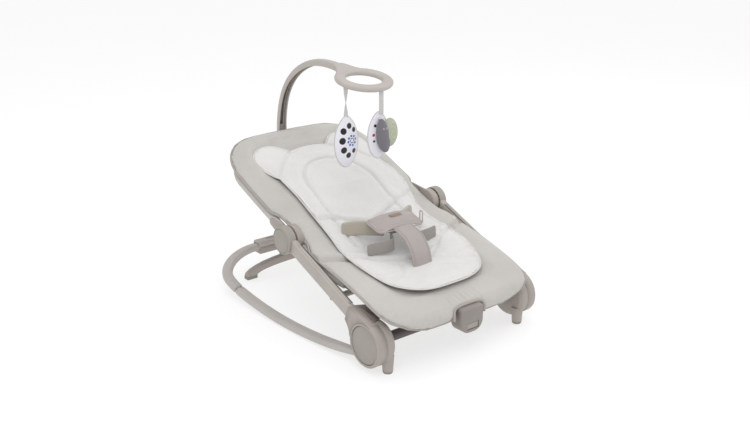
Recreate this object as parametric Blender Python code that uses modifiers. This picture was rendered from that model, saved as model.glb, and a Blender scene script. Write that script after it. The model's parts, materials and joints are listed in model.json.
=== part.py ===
"""Rocking bouncer seat for a baby, modelled as separate pieces.

Metres, +Z up.  X runs across the seat, the foot end faces -Y and the head end +Y.
Heights and lengths along Y are first laid out from the front fold axis, which is
Y = 0 there, and every piece is then shifted by SHIFT_Y so that the origin lies
under the middle of the whole object.
"""
import math

import bmesh
import bpy
from mathutils import Matrix, Vector

# ---------------------------------------------------------------- driving sizes
SHIFT_Y = -0.2695            # fold axis to the middle of the object
FIT = 0.0003                 # gap between touching pieces
RUN = 0.0006                 # gap between pieces that move past each other

# rocker base
RAIL_WIDTH = 0.0260
RAIL_HEIGHT = 0.0175
RAIL_FRONT_X = 0.2110        # rail centre line at the front housing
RAIL_REAR_X = 0.2295         # rail centre line at the rear
ROCK_RADIUS = 1.2500         # rocking arc of the rails
ROCK_LOW_Y = 0.2500          # where the arc is lowest
ROCK_CLEAR = 0.0010          # arc above the floor while the rear foot is down
LIFT_START_Y = 0.4400        # the rails start to rise faster here
LIFT_RATE = 1.4500
REAR_Y = 0.5670              # centre line of the rear cross tube
CORNER_X = 0.1190            # half axes of the rear corners
CORNER_Y = 0.0700
RAIL_SPLIT_Y = 0.4600        # where each rail is sleeved to the rear tube

# front housings
PIVOT_Z = 0.0600
HOUSING_RADIUS = 0.0480
HOUSING_OUTER_X = 0.2250
HOUSING_SPLIT_X = 0.2000
HOUSING_INNER_X = 0.1780
HOUSING_WALL = 0.0030
FOLD_BUTTON_RADIUS = 0.0410
LUG_RADIUS = 0.0430
BOLT_RADIUS = 0.0050
CROSS_TUBE_RADIUS = 0.0110
PEG_X = 0.1860
PEG_Y = -0.0290
PEG_RADIUS = 0.0130
PEG_BASE_Z = 0.0050

# struts and hubs
STRUT_ANGLE = math.radians(22.4)
STRUT_RISE = 0.0887          # strut centre line above the floor at the fold axis
STRUT_WIDTH = 0.0180
STRUT_HEIGHT = 0.0300
STRUT_X = 0.2160
NECK_LENGTH = 0.0620
NECK_WALL = 0.0026
HUB_Y = 0.2820
HUB_Z = 0.2010
HUB_RADIUS = 0.0310
HUB_OUTER_X = 0.2280
HUB_INNER_X = 0.2074
HUB_BUTTON_RADIUS = 0.0265
HUB_PIN_RADIUS = 0.0060
PLATE_THICKNESS = 0.0040
DRUM_RADIUS = 0.0300          # round boss between the hub and the cushions
DRUM_INNER_X = 0.1870
SUPPORT_Y = 0.1300
SUPPORT_RADIUS = 0.0065

# seat and backrest
TUBE_RADIUS = 0.0070
TUBE_X = 0.1940
SEAT_HALF = 0.2000           # half width of the cushions
PAD_THICKNESS = 0.0220
LINER_THICKNESS = 0.0100
TUBE_DROP = 0.0257           # side tubes under the top surface, in the pads' lower corners
FRONT_DROP = PAD_THICKNESS + TUBE_RADIUS + 0.0012   # the same where the tube is flat under the pad
SEAT_SAG = 0.0340
FOLD_NOSE = 0.0285           # radius of the backrest cushion's front nose
FRONT_RUN_Y = -0.0355
FRONT_RUN_Z = 0.0915
FRONT_CORNER = 0.0450
FRONT_TUBE_X = 0.1640        # seat tube where it passes between the housings
HEAD_CORNER = 0.1150
HEAD_Y = 0.5860               # head end of the backrest cushion
HEAD_TUBE_Y = 0.5600
LINER_LIFT = 0.0022          # liner above the cushion

# rear bracket and foot
BRACKET_HALF = 0.1090
BRACKET_DEPTH = 0.0300
BRACKET_TOP = 0.0865
BRACKET_BOTTOM = 0.0560
FOOT_AXIS_Y = 0.5550
FOOT_AXIS_Z = 0.0470
FOOT_HALF = 0.1500
FOOT_DEPTH = 0.0160
FOOT_PAD_X = 0.1360
KNUCKLE_RADIUS = 0.0058
PAD_HEIGHT = 0.0080

# toy bar and toys
BAR_AXIS_Y = 0.6060
BAR_AXIS_Z = 0.3120
BAR_WIDTH = 0.0240
BAR_DEPTH = 0.0150
RING_Y = 0.2800
RING_Z = 0.5210
RING_RADIUS = 0.0645
RING_HOLE = 0.0400
RING_HEIGHT = 0.0130
RING_TILT = math.radians(9)     # foot side of the ring lower
TOY_LEFT = (-0.0560, 0.2720)
TOY_FRONT = (0.0030, 0.2240)
LEFT_STRAP = 0.0600
FRONT_STRAP = 0.0440

# harness
FLAP_HALF = 0.0580
FLAP_Y = 0.1460
FLAP_Z = 0.2225
FLAP_DEPTH = 0.0520
FLAP_RISE = 0.0130

# vibration unit
UNIT_HALF = 0.0310
UNIT_FRONT_Y = -0.0800
UNIT_BACK_Y = -0.0445
UNIT_TOP = 0.1090
UNIT_BOTTOM = 0.0520
UNIT_WALL = 0.0025

COLOURS = {
    "taupe_plastic": ((0.335, 0.305, 0.285, 1.0), 0.42, 0.0),
    "dark_taupe_plastic": ((0.245, 0.225, 0.212, 1.0), 0.45, 0.0),
    "painted_tube": ((0.440, 0.420, 0.405, 1.0), 0.38, 0.1),
    "steel": ((0.560, 0.560, 0.570, 1.0), 0.30, 1.0),
    "rubber": ((0.200, 0.190, 0.175, 1.0), 0.80, 0.0),
    "beige_fabric": ((0.590, 0.560, 0.535, 1.0), 0.90, 0.0),
    "white_fabric": ((0.780, 0.770, 0.750, 1.0), 0.92, 0.0),
    "taupe_webbing": ((0.430, 0.380, 0.372, 1.0), 0.85, 0.0),
    "grey_webbing": ((0.290, 0.275, 0.265, 1.0), 0.85, 0.0),
    "toy_white": ((0.760, 0.760, 0.800, 1.0), 0.90, 0.0),
    "toy_grey": ((0.240, 0.235, 0.250, 1.0), 0.90, 0.0),
    "battery_grey": ((0.120, 0.120, 0.130, 1.0), 0.40, 0.3),
}


# ---------------------------------------------------------------- scene helpers
def clear_scene():
    for item in list(bpy.data.objects):
        bpy.data.objects.remove(item, do_unlink=True)


def new_collection(name):
    group = bpy.data.collections.new(name)
    bpy.context.scene.collection.children.link(group)
    return group


def material(name):
    found = bpy.data.materials.get(name)
    if found:
        return found
    colour, roughness, metallic = COLOURS[name]
    made = bpy.data.materials.new(name)
    made.use_nodes = True
    shader = made.node_tree.nodes["Principled BSDF"]
    shader.inputs["Base Color"].default_value = colour
    shader.inputs["Roughness"].default_value = roughness
    shader.inputs["Metallic"].default_value = metallic
    return made


def add_object(name, bm, finish, smooth=True, cutter=False):
    """Turn a bmesh into a named object; the layout's Y is shifted to the origin."""
    bmesh.ops.translate(bm, verts=bm.verts, vec=(0.0, SHIFT_Y, 0.0))
    bmesh.ops.remove_doubles(bm, verts=bm.verts, dist=0.00001)
    bmesh.ops.recalc_face_normals(bm, faces=bm.faces)
    mesh = bpy.data.meshes.new(name)
    bm.to_mesh(mesh)
    bm.free()
    item = bpy.data.objects.new(name, mesh)
    if cutter:
        CUTTERS.objects.link(item)
        item.hide_render = True
        item.display_type = 'WIRE'
        return item
    PARTS.objects.link(item)
    mesh.materials.append(material(finish))
    if smooth:
        mesh.shade_smooth()
        mesh.set_sharp_from_angle(angle=math.radians(35))
    return item


def boolean(target, other, operation='DIFFERENCE', solver='EXACT'):
    step = target.modifiers.new(operation.lower(), 'BOOLEAN')
    step.object = other
    step.operation = operation
    step.solver = solver


def round_edges(target, width, segments=2, angle=40):
    step = target.modifiers.new("round", 'BEVEL')
    step.width = width
    step.segments = segments
    step.limit_method = 'ANGLE'
    step.angle_limit = math.radians(angle)


# ---------------------------------------------------------------- shape helpers
def loft(rings, closed=False):
    """Join rings of points, each with the same count, into one closed body."""
    bm = bmesh.new()
    loops = [[bm.verts.new(point) for point in ring] for ring in rings]
    count = len(loops[0])
    pairs = list(zip(loops, loops[1:]))
    if closed:
        pairs.append((loops[-1], loops[0]))
    for first, second in pairs:
        for i in range(count):
            j = (i + 1) % count
            bm.faces.new((first[i], first[j], second[j], second[i]))
    if not closed:
        bm.faces.new(loops[0])
        bm.faces.new(loops[-1])
    return bm


def oval(centre, side, up, half_width, half_height, sides=16, power=2.0):
    """A ring: an ellipse for power 2, squarer above that."""
    ring = []
    for i in range(sides):
        angle = 2 * math.pi * (i + 0.5) / sides
        across = math.copysign(abs(math.cos(angle)) ** (2 / power), math.cos(angle))
        rise = math.copysign(abs(math.sin(angle)) ** (2 / power), math.sin(angle))
        ring.append(centre + side * across * half_width + up * rise * half_height)
    return ring


def sweep(path, half_width, half_height, sides=16, power=2.0, level=True, closed=False):
    """Carry an oval along a path; level keeps its wide side horizontal."""
    rings = []
    last = len(path) - 1
    for i, point in enumerate(path):
        if closed:
            ahead, behind = path[(i + 1) % len(path)], path[i - 1]
        else:
            ahead, behind = path[min(i + 1, last)], path[max(i - 1, 0)]
        along = (ahead - behind).normalized()
        side = Vector((0, 0, 1)).cross(along) if level else Vector((1, 0, 0))
        side.normalize()
        rings.append(oval(point, side, along.cross(side), half_width, half_height, sides, power))
    return loft(rings, closed)


def smooth_path(points, steps=8):
    """Points along a smooth curve through the given ones (Catmull-Rom)."""
    points = [Vector(p) for p in points]
    ends = [points[0] * 2 - points[1]] + points + [points[-1] * 2 - points[-2]]
    path = []
    for a, b, c, d in zip(ends, ends[1:], ends[2:], ends[3:]):
        for i in range(steps):
            t = i / steps
            path.append(0.5 * ((2 * b) + (c - a) * t + (2 * a - 5 * b + 4 * c - d) * t * t
                               + (3 * b - a - 3 * c + d) * t ** 3))
    path.append(points[-1])
    return path


def turned(profile, y, z, segments=32):
    """Spin a profile of (x, radius) points about the X axis through (y, z)."""
    bm = bmesh.new()
    verts = [bm.verts.new((x, 0.0, radius)) for x, radius in profile]
    edges = [bm.edges.new(pair) for pair in zip(verts, verts[1:])]
    if profile[0][1] > 0:
        edges.append(bm.edges.new((verts[-1], verts[0])))
    bmesh.ops.spin(bm, geom=verts + edges, cent=(0, 0, 0), axis=(1, 0, 0),
                   angle=2 * math.pi, steps=segments, use_merge=True)
    bmesh.ops.remove_doubles(bm, verts=bm.verts, dist=0.00002)
    bmesh.ops.translate(bm, verts=bm.verts, vec=(0, y, z))
    return bm


def rod(x0, x1, y, z, radius, segments=24):
    return turned([(x0, 0.0), (x0, radius), (x1, radius), (x1, 0.0)], y, z, segments)


def washer(x0, x1, y, z, radius, bore, segments=32):
    return turned([(x0, bore), (x0, radius), (x1, radius), (x1, bore)], y, z, segments)


def block(low, high):
    bm = bmesh.new()
    bmesh.ops.create_cube(bm, size=1.0)
    low, high = Vector(low), Vector(high)
    bmesh.ops.scale(bm, verts=bm.verts, vec=high - low)
    bmesh.ops.translate(bm, verts=bm.verts, vec=(low + high) / 2)
    return bm


def coil(name, x0, x1, y, z, radius, wire, turns):
    """A compression spring along X."""
    curve = bpy.data.curves.new(name, 'CURVE')
    curve.dimensions = '3D'
    curve.bevel_depth = wire
    curve.bevel_resolution = 1
    curve.use_fill_caps = True
    points = 12 * turns + 1
    spline = curve.splines.new('POLY')
    spline.points.add(points - 1)
    for i in range(points):
        angle = 2 * math.pi * i / 12
        x = x0 + (x1 - x0) * i / (points - 1)
        place = (x, y + radius * math.cos(angle), z + radius * math.sin(angle), 1.0)
        spline.points[i].co = place
    carrier = bpy.data.objects.new(name + "_curve", curve)
    PARTS.objects.link(carrier)
    graph = bpy.context.evaluated_depsgraph_get()
    mesh = bpy.data.meshes.new_from_object(carrier.evaluated_get(graph))
    bm = bmesh.new()
    bm.from_mesh(mesh)
    bpy.data.objects.remove(carrier, do_unlink=True)
    bpy.data.meshes.remove(mesh)
    bmesh.ops.remove_doubles(bm, verts=bm.verts, dist=0.00001)
    add_object(name, bm, "steel")


def label(side, word):
    return word + ("_left" if side < 0 else "_right")


# ---------------------------------------------------------------- rocker base
def rail_height(y):
    """Underside of the rocker tube: a long arc that lifts towards the rear."""
    rise = (y - ROCK_LOW_Y) ** 2 / (2 * ROCK_RADIUS)
    return ROCK_CLEAR + rise + LIFT_RATE * max(0.0, y - LIFT_START_Y) ** 2


def rail_point(side, y):
    """Centre line of a rail: it bows out gently from the housing to the rear."""
    start = LUG_RADIUS * 0.9
    t = min(1.0, (y - start) / (REAR_Y - CORNER_Y - start))
    x = RAIL_FRONT_X + (RAIL_REAR_X - RAIL_FRONT_X) * math.sin(t * math.pi / 2)
    return Vector((side * x, y, rail_height(y) + RAIL_HEIGHT / 2))


def rails():
    lug_edge = math.sqrt(LUG_RADIUS ** 2 - (PIVOT_Z - rail_height(0.04) - RAIL_HEIGHT) ** 2)
    start = lug_edge + RUN
    for side in (-1, 1):
        path = []
        steps = 14
        for i in range(steps + 1):
            path.append(rail_point(side, start + (RAIL_SPLIT_Y - start) * i / steps))
        rings = []
        for i, point in enumerate(path):
            ahead, behind = path[min(i + 1, steps)], path[max(i - 1, 0)]
            along = (ahead - behind).normalized()
            across = Vector((0, 0, 1)).cross(along).normalized()
            slim = min(1.0, 0.55 + 0.45 * i / 2)
            rings.append(oval(point, across, along.cross(across), slim * RAIL_WIDTH / 2,
                              RAIL_HEIGHT / 2, 12, 3.2))
        add_object(label(side, "rail"), loft(rings), "painted_tube")


def rear_tube():
    path = []
    for i in range(3):
        path.append(rail_point(-1, RAIL_SPLIT_Y + 3 * FIT + (REAR_Y - CORNER_Y - RAIL_SPLIT_Y) * i / 3))
    centre_x = RAIL_REAR_X - CORNER_X
    for i in range(10):
        angle = math.pi / 2 * i / 9
        y = REAR_Y - CORNER_Y + CORNER_Y * math.sin(angle)
        x = -(centre_x + CORNER_X * math.cos(angle))
        path.append(Vector((x, y, rail_height(y) + RAIL_HEIGHT / 2)))
    half = path[:]
    for point in reversed(half):
        path.append(Vector((-point.x, point.y, point.z)))
    bm = sweep(path, RAIL_WIDTH / 2, RAIL_HEIGHT / 2, 12, 3.2)
    add_object("rear_cross_tube", bm, "painted_tube")


def rear_height():
    return rail_height(REAR_Y) + RAIL_HEIGHT / 2


def rear_bracket():
    """Two half shells clamped on the rear tube; the lower one has the foot's knuckle."""
    middle = rear_height()
    half_depth = BRACKET_DEPTH / 2
    channel = []
    for x in (-0.2, 0.2):
        channel.append(oval(Vector((x, REAR_Y, middle)), Vector((0, 1, 0)), Vector((0, 0, 1)),
                            RAIL_WIDTH / 2 + 2 * FIT, RAIL_HEIGHT / 2 + 2 * FIT, 16, 3.2))
    cutter = add_object("cut_tube_channel", loft(channel), None, cutter=True)
    upper = add_object("bracket_upper", block(
        (-BRACKET_HALF, REAR_Y - half_depth, middle + FIT / 2),
        (BRACKET_HALF, REAR_Y + half_depth, BRACKET_TOP)), "taupe_plastic")
    round_edges(upper, 0.0035)
    boolean(upper, cutter)
    for x in (-0.070, -0.035, 0.0, 0.035, 0.070):
        slot = add_object("cut_slot", block((x - 0.011, REAR_Y - 0.006, BRACKET_TOP - 0.0022),
                                            (x + 0.011, REAR_Y + 0.006, BRACKET_TOP + 0.01)),
                          None, cutter=True)
        boolean(upper, slot)
    lower = add_object("bracket_lower", block(
        (-BRACKET_HALF, REAR_Y - half_depth, BRACKET_BOTTOM),
        (BRACKET_HALF, REAR_Y + half_depth, middle - FIT / 2)), "taupe_plastic")
    round_edges(lower, 0.0035)
    web = add_object("join_knuckle_web", block(
        (-0.019, FOOT_AXIS_Y - KNUCKLE_RADIUS, FOOT_AXIS_Z),
        (0.019, FOOT_AXIS_Y + KNUCKLE_RADIUS, BRACKET_BOTTOM + 0.004)), None, cutter=True)
    knuckle = add_object("join_knuckle", rod(-0.0190, 0.0190, FOOT_AXIS_Y, FOOT_AXIS_Z,
                                             KNUCKLE_RADIUS), None, cutter=True)
    bore = add_object("cut_knuckle_bore", rod(-0.06, 0.06, FOOT_AXIS_Y, FOOT_AXIS_Z,
                                              0.0024), None, cutter=True)
    boolean(lower, web, 'UNION')
    boolean(lower, knuckle, 'UNION')
    boolean(lower, bore)
    boolean(lower, cutter)
    add_object("foot_pin", rod(-0.0490, 0.0490, FOOT_AXIS_Y, FOOT_AXIS_Z, 0.0020, 12), "steel")
    return bore


def stabiliser(bore):
    """The flip-down rear foot: a flat arch with two hinge knuckles and rubber pads."""
    rings = []
    steps = 14
    top = FOOT_AXIS_Z - KNUCKLE_RADIUS - RUN
    for i in range(steps + 1):
        angle = math.pi * i / steps
        outer = Vector((-FOOT_HALF * math.cos(angle), 0, PAD_HEIGHT + (top - PAD_HEIGHT) * math.sin(angle)))
        inner = Vector((-(FOOT_HALF - 0.028) * math.cos(angle), 0,
                        PAD_HEIGHT + (top - PAD_HEIGHT - 0.017) * math.sin(angle)))
        ring = []
        for point, dy in ((outer, -1), (outer, 1), (inner, 1), (inner, -1)):
            ring.append(Vector((point.x, FOOT_AXIS_Y + dy * FOOT_DEPTH / 2, point.z)))
        rings.append(ring)
    foot = add_object("stabiliser_foot", loft(rings), "taupe_plastic")
    for side in (-1, 1):
        low, high = sorted((side * 0.0196, side * 0.0480))
        knuckle = add_object("join_foot_knuckle", rod(low, high, FOOT_AXIS_Y, FOOT_AXIS_Z,
                                                      KNUCKLE_RADIUS), None, cutter=True)
        web = add_object("join_foot_web", block(
            (low, FOOT_AXIS_Y - 0.0045, top - 0.006),
            (high, FOOT_AXIS_Y + 0.0045, FOOT_AXIS_Z)), None, cutter=True)
        boolean(foot, web, 'UNION')
        boolean(foot, knuckle, 'UNION')
    boolean(foot, bore)
    for side in (-1, 1):
        middle = side * FOOT_PAD_X
        pad = add_object(label(side, "stabiliser_pad"), block(
            (middle - 0.0145, FOOT_AXIS_Y - 0.0085, 0.0),
            (middle + 0.0145, FOOT_AXIS_Y + 0.0085, PAD_HEIGHT - FIT)), "rubber")
        round_edges(pad, 0.0015)


# ---------------------------------------------------------------- front housings
def strut_point(along, side=1, lift=0.0):
    """A point on the strut's centre line, a distance along it from the fold axis."""
    direction = Vector((0, math.cos(STRUT_ANGLE), math.sin(STRUT_ANGLE)))
    normal = Vector((0, -math.sin(STRUT_ANGLE), math.cos(STRUT_ANGLE)))
    return Vector((side * STRUT_X, 0, STRUT_RISE)) + direction * along + normal * lift


def strut_rings(side, start, end, half_width, half_height, x_shift=0.0, power=4.0, sides=16):
    normal = Vector((0, -math.sin(STRUT_ANGLE), math.cos(STRUT_ANGLE)))
    rings = []
    for along in (start, end):
        centre = strut_point(along, side) + Vector((x_shift, 0, 0))
        rings.append(oval(centre, Vector((1, 0, 0)), normal, half_width, half_height, sides, power))
    return rings


def housings():
    for side in (-1, 1):
        outer, split, inner = (side * HOUSING_OUTER_X, side * HOUSING_SPLIT_X, side * HOUSING_INNER_X)
        wall = side * HOUSING_WALL
        gap = side * RUN
        # outer shell, fixed to the strut: a cup with a hole for the release button
        profile = [(outer, FOLD_BUTTON_RADIUS + RUN), (outer, HOUSING_RADIUS - 0.003),
                   (outer - side * 0.003, HOUSING_RADIUS), (split + gap, HOUSING_RADIUS),
                   (split + gap, HOUSING_RADIUS - HOUSING_WALL),
                   (outer - wall * 2, HOUSING_RADIUS - HOUSING_WALL),
                   (outer - wall * 2, FOLD_BUTTON_RADIUS + RUN)]
        shell = add_object(label(side, "housing_outer"), turned(profile, 0, PIVOT_Z, 32),
                           "taupe_plastic")
        neck_half = STRUT_WIDTH / 2 + NECK_WALL
        neck_x = side * (HOUSING_OUTER_X - neck_half - 0.0006 - STRUT_X)
        boolean(shell, add_object("join_saddle", saddle(side), None, cutter=True), 'UNION', 'MANIFOLD')
        clear = rod(*sorted((side * 0.150, split + gap * 0.5)), 0, PIVOT_Z, HOUSING_RADIUS + 0.0008, 48)
        boolean(shell, add_object("cut_inner_drum", clear, None, cutter=True), solver='MANIFOLD')
        hollow = rod(*sorted((split - side * 0.01, outer - wall * 2 - side * 0.0003)), 0, PIVOT_Z,
                     HOUSING_RADIUS - HOUSING_WALL - 0.0002, 36)
        inside = add_object("cut_neck_inside", hollow, None, cutter=True)
        boolean(shell, inside)
        pocket = loft(strut_rings(side, 0.0395 - FIT, NECK_LENGTH + 0.01, STRUT_WIDTH / 2 + FIT,
                                  STRUT_HEIGHT / 2 + FIT, neck_x))
        boolean(shell, add_object("cut_strut_pocket", pocket, None, cutter=True))
        boolean(shell, add_object("cut_rail_window", rail_window(side), None, cutter=True))
        # release button in the middle of the housing's face
        face = outer - side * 0.0012
        dish = [(face, 0.0), (face, FOLD_BUTTON_RADIUS - 0.0025),
                (face - side * 0.0012, FOLD_BUTTON_RADIUS), (outer - wall * 2, FOLD_BUTTON_RADIUS),
                (outer - wall * 2, 0.0)]
        add_object(label(side, "fold_button"), turned(dish, 0, PIVOT_Z, 32), "taupe_plastic")
        # lug on the rail's end, turning inside the shell
        lug_out = split + side * 0.0090
        lug = washer(*sorted((split + gap, lug_out)), 0, PIVOT_Z, LUG_RADIUS, BOLT_RADIUS + FIT)
        add_object(label(side, "rail_lug"), lug, "dark_taupe_plastic")
        # inner shell, fixed to the base
        cup = [(inner, CROSS_TUBE_RADIUS + FIT), (inner, HOUSING_RADIUS - 0.006),
               (inner + side * 0.006, HOUSING_RADIUS - 0.0005), (split, HOUSING_RADIUS - 0.0005),
               (split, BOLT_RADIUS + FIT), (split - wall, BOLT_RADIUS + FIT),
               (split - wall, CROSS_TUBE_RADIUS + FIT)]
        base = add_object(label(side, "housing_inner"), turned(cup, 0, PIVOT_Z, 32),
                          "taupe_plastic")
        stem = bmesh.new()
        bmesh.ops.create_cone(stem, cap_ends=True, segments=20, radius1=PEG_RADIUS - 0.002,
                              radius2=PEG_RADIUS, depth=0.034,
                              matrix=Matrix.Translation((side * PEG_X, PEG_Y, PEG_BASE_Z + 0.017)))
        boolean(base, add_object("join_peg", stem, None, cutter=True), 'UNION')
        foot = bmesh.new()
        bmesh.ops.create_cone(foot, cap_ends=True, segments=20, radius1=PEG_RADIUS - 0.0035,
                              radius2=PEG_RADIUS - 0.002, depth=PEG_BASE_Z - FIT,
                              matrix=Matrix.Translation((side * PEG_X, PEG_Y, (PEG_BASE_Z - FIT) / 2)))
        add_object(label(side, "peg_foot"), foot, "rubber")
        # bolt on the fold axis, with its head outside the lug
        head = lug_out + side * FIT
        bolt = turned([(split - wall - side * 0.008, 0.0), (split - wall - side * 0.008, BOLT_RADIUS),
                       (head, BOLT_RADIUS), (head, BOLT_RADIUS + 0.004),
                       (head + side * 0.002, BOLT_RADIUS + 0.004), (head + side * 0.002, 0.0)],
                      0, PIVOT_Z, 16)
        add_object(label(side, "fold_bolt"), bolt, "steel")
        start = lug_out + side * 0.0012
        coil(label(side, "fold_spring"), start, start + side * 0.0026, 0, PIVOT_Z, 0.0180, 0.0006, 2)
    reach = HOUSING_SPLIT_X - HOUSING_WALL - 0.0085
    tube = rod(-reach, reach, 0, PIVOT_Z, CROSS_TUBE_RADIUS, 24)
    add_object("front_cross_tube", tube, "dark_taupe_plastic")


def saddle(side):
    """The housing's neck: tangent to the round shell above, and coming down at its inner side."""
    centre = Vector((0, 0, PIVOT_Z))
    rings = []
    for x, fall in ((HOUSING_OUTER_X - 0.0009, 0.0), (0.2120, 0.0), (0.2000, 0.0030), (0.1880, 0.0065), (0.1777, 0.0100)):
        upper = strut_point(NECK_LENGTH - 0.0005, side, STRUT_HEIGHT / 2 + NECK_WALL - 0.0005 - fall) - Vector((side * STRUT_X, 0, 0))
        lower = strut_point(NECK_LENGTH - 0.0005, side, -STRUT_HEIGHT / 2 - NECK_WALL + 0.0007) - Vector((side * STRUT_X, 0, 0))
        reach = upper - centre
        start = math.atan2(reach.z, reach.y) + math.acos((HOUSING_RADIUS - 0.0004) / reach.length)
        ring = [upper, centre + (HOUSING_RADIUS - 0.0004) * Vector((0, math.cos(start), math.sin(start)))]
        for i in range(11):
            angle = start + (math.radians(3) - start) * i / 10
            ring.append(centre + (HOUSING_RADIUS - 0.0016) * Vector((0, math.cos(angle), math.sin(angle))))
        ring += [centre + Vector((0, 0.0478, 0.0040)), centre + Vector((0, 0.0500, 0.0150)),
                 centre + Vector((0, 0.0550, 0.0260)), lower]
        rings.append([Vector((side * x, point.y, point.z)) for point in ring])
    return loft(rings)


def rail_window(side):
    """A wedge that opens the outer shell's rim where the rail passes as it folds."""
    rings = []
    for x in sorted((side * (HOUSING_SPLIT_X - 0.004), side * (HOUSING_OUTER_X - 0.0045))):
        ring = []
        for degrees in (-64, -49, -34, -19, -4):
            angle = math.radians(degrees)
            ring.append(Vector((x, 0.070 * math.cos(angle), PIVOT_Z + 0.070 * math.sin(angle))))
        for degrees in (-4, -19, -34, -49, -64):
            angle = math.radians(degrees)
            ring.append(Vector((x, 0.0435 * math.cos(angle), PIVOT_Z + 0.0435 * math.sin(angle))))
        rings.append(ring)
    return loft(rings)


# ---------------------------------------------------------------- struts and hubs
def struts():
    hub_along = HUB_Y / math.cos(STRUT_ANGLE)
    shift = HOUSING_OUTER_X - STRUT_WIDTH / 2 - NECK_WALL - 0.0006 - STRUT_X
    inner_flank = STRUT_X + shift - STRUT_WIDTH / 2
    tube_flank = TUBE_X + TUBE_RADIUS + FIT
    hold = under_surface(0.2150, TUBE_DROP)
    for side in (-1, 1):
        rings = strut_rings(side, 0.0395, hub_along - 0.005, STRUT_WIDTH / 2, STRUT_HEIGHT / 2, side * shift)
        strut = add_object(label(side, "strut"), loft(rings), "painted_tube")
        drum_hole = add_object("cut_hub_seat", rod(*sorted((side * 0.19, side * 0.24)), HUB_Y, HUB_Z,
                                                   HUB_RADIUS + FIT, 32), None, cutter=True)
        boolean(strut, drum_hole)
        low, high = sorted((side * tube_flank, side * (inner_flank + 0.003)))
        bracket = add_object("join_seat_bracket", block((low, hold.y - 0.014, hold.z - 0.0065),
                                                        (high, hold.y + 0.014, hold.z + 0.0065)),
                             None, cutter=True)
        boolean(strut, bracket, 'UNION')
        out, into = side * HUB_OUTER_X, side * HUB_INNER_X
        shell = [(out, HUB_BUTTON_RADIUS + RUN), (out, HUB_RADIUS - 0.003), (out - side * 0.003, HUB_RADIUS),
                 (into, HUB_RADIUS), (into, HUB_RADIUS - 0.003), (out - side * 0.004, HUB_RADIUS - 0.003),
                 (out - side * 0.004, HUB_BUTTON_RADIUS + RUN)]
        add_object(label(side, "hub_shell"), turned(shell, HUB_Y, HUB_Z), "taupe_plastic")
        face = out + side * 0.0008
        button = [(face, 0.0), (face, HUB_BUTTON_RADIUS - 0.002), (face - side * 0.001, HUB_BUTTON_RADIUS),
                  (out - side * 0.006, HUB_BUTTON_RADIUS), (out - side * 0.006, 0.0)]
        add_object(label(side, "hub_button"), turned(button, HUB_Y, HUB_Z), "dark_taupe_plastic")
        start = into + side * 0.0084
        coil(label(side, "hub_spring"), start, start + side * 0.0024, HUB_Y, HUB_Z, 0.0100, 0.0005, 2)
    reach = inner_flank - FIT
    bar = rod(-reach + 0.0008, reach - 0.0008, SUPPORT_Y, support_height(), SUPPORT_RADIUS, 20)
    bar = add_object("seat_support_bar", bar, "painted_tube")
    low_z = support_height() - SUPPORT_RADIUS - 0.0010
    for side in (-1, 1):
        low, high = sorted((side * reach, side * (reach - 0.0022)))
        flange = block((low, SUPPORT_Y - 0.0110, low_z), (high, SUPPORT_Y + 0.0110, low_z + 0.0320))
        boolean(bar, add_object("join_flange", flange, None, cutter=True), 'UNION')


def recline_plates():
    """Side plates of the backrest, each with a toothed wheel and a stud in the hub."""
    end = under_surface(0.3400, TUBE_DROP)
    for side in (-1, 1):
        near = side * (TUBE_X + TUBE_RADIUS + FIT)
        far = near + side * PLATE_THICKNESS
        rings = []
        for x in (near, far):
            ring = []
            for centre, radius, start in (((HUB_Y, HUB_Z), 0.0220, 90), ((end.y, end.z), 0.0080, -90)):
                for i in range(9):
                    angle = math.radians(start + 180 * i / 8) + STRUT_ANGLE
                    ring.append(Vector((x, centre[0] + radius * math.cos(angle),
                                        centre[1] + radius * math.sin(angle))))
            rings.append(ring)
        plate = add_object(label(side, "recline_plate"), loft(rings), "steel")
        wheel_out = side * HUB_INNER_X + side * 0.0064
        wheel = add_object("join_ratchet_wheel", toothed(far - side * 0.001, wheel_out), None, cutter=True)
        stud = rod(*sorted((near + side * 0.001, wheel_out + side * 0.0015)), HUB_Y, HUB_Z, HUB_PIN_RADIUS, 16)
        boolean(plate, wheel, 'UNION')
        boolean(plate, add_object("join_stud", stud, None, cutter=True), 'UNION')
        drum = rod(*sorted((side * DRUM_INNER_X, near + side * 0.0010)), HUB_Y, HUB_Z, DRUM_RADIUS, 40)
        boolean(plate, add_object("join_drum", drum, None, cutter=True), 'UNION')


def toothed(x0, x1):
    """A ratchet wheel, which the hub's button frees."""
    rings = []
    teeth = 16
    for x in sorted((x0, x1)):
        ring = []
        for i in range(teeth * 2):
            angle = math.pi * i / teeth
            radius = 0.0240 if i % 2 else 0.0265
            ring.append(Vector((x, HUB_Y + radius * math.cos(angle), HUB_Z + radius * math.sin(angle))))
        rings.append(ring)
    return loft(rings)


def support_height():
    return profile_height(SUPPORT_Y) - PAD_THICKNESS - SEAT_SAG - SUPPORT_RADIUS - 0.0020


# ---------------------------------------------------------------- seat surfaces
SEAT_LINE = [(-0.0735, 0.0860), (-0.0720, 0.1040), (-0.0620, 0.1190), (-0.0400, 0.1285),
             (0.0000, 0.1430), (0.0500, 0.1590), (0.1040, 0.1735), (0.1500, 0.1830),
             (0.1850, 0.1905), (0.2300, 0.2050), (0.2820, 0.2235)]
BACK_LINE = [(0.2600, 0.2153), (0.2820, 0.2235), (0.3400, 0.2450), (0.4000, 0.2690),
             (0.4600, 0.2945), (0.5200, 0.3215), (HEAD_Y, 0.3525)]


def profile_height(y):
    """Height of the seat's top surface where it is not sagging."""
    line = SEAT_LINE if y < HUB_Y else BACK_LINE
    for (y0, z0), (y1, z1) in zip(line, line[1:]):
        if y0 <= y <= y1:
            return z0 + (z1 - z0) * (y - y0) / (y1 - y0)
    return line[-1][1]


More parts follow.
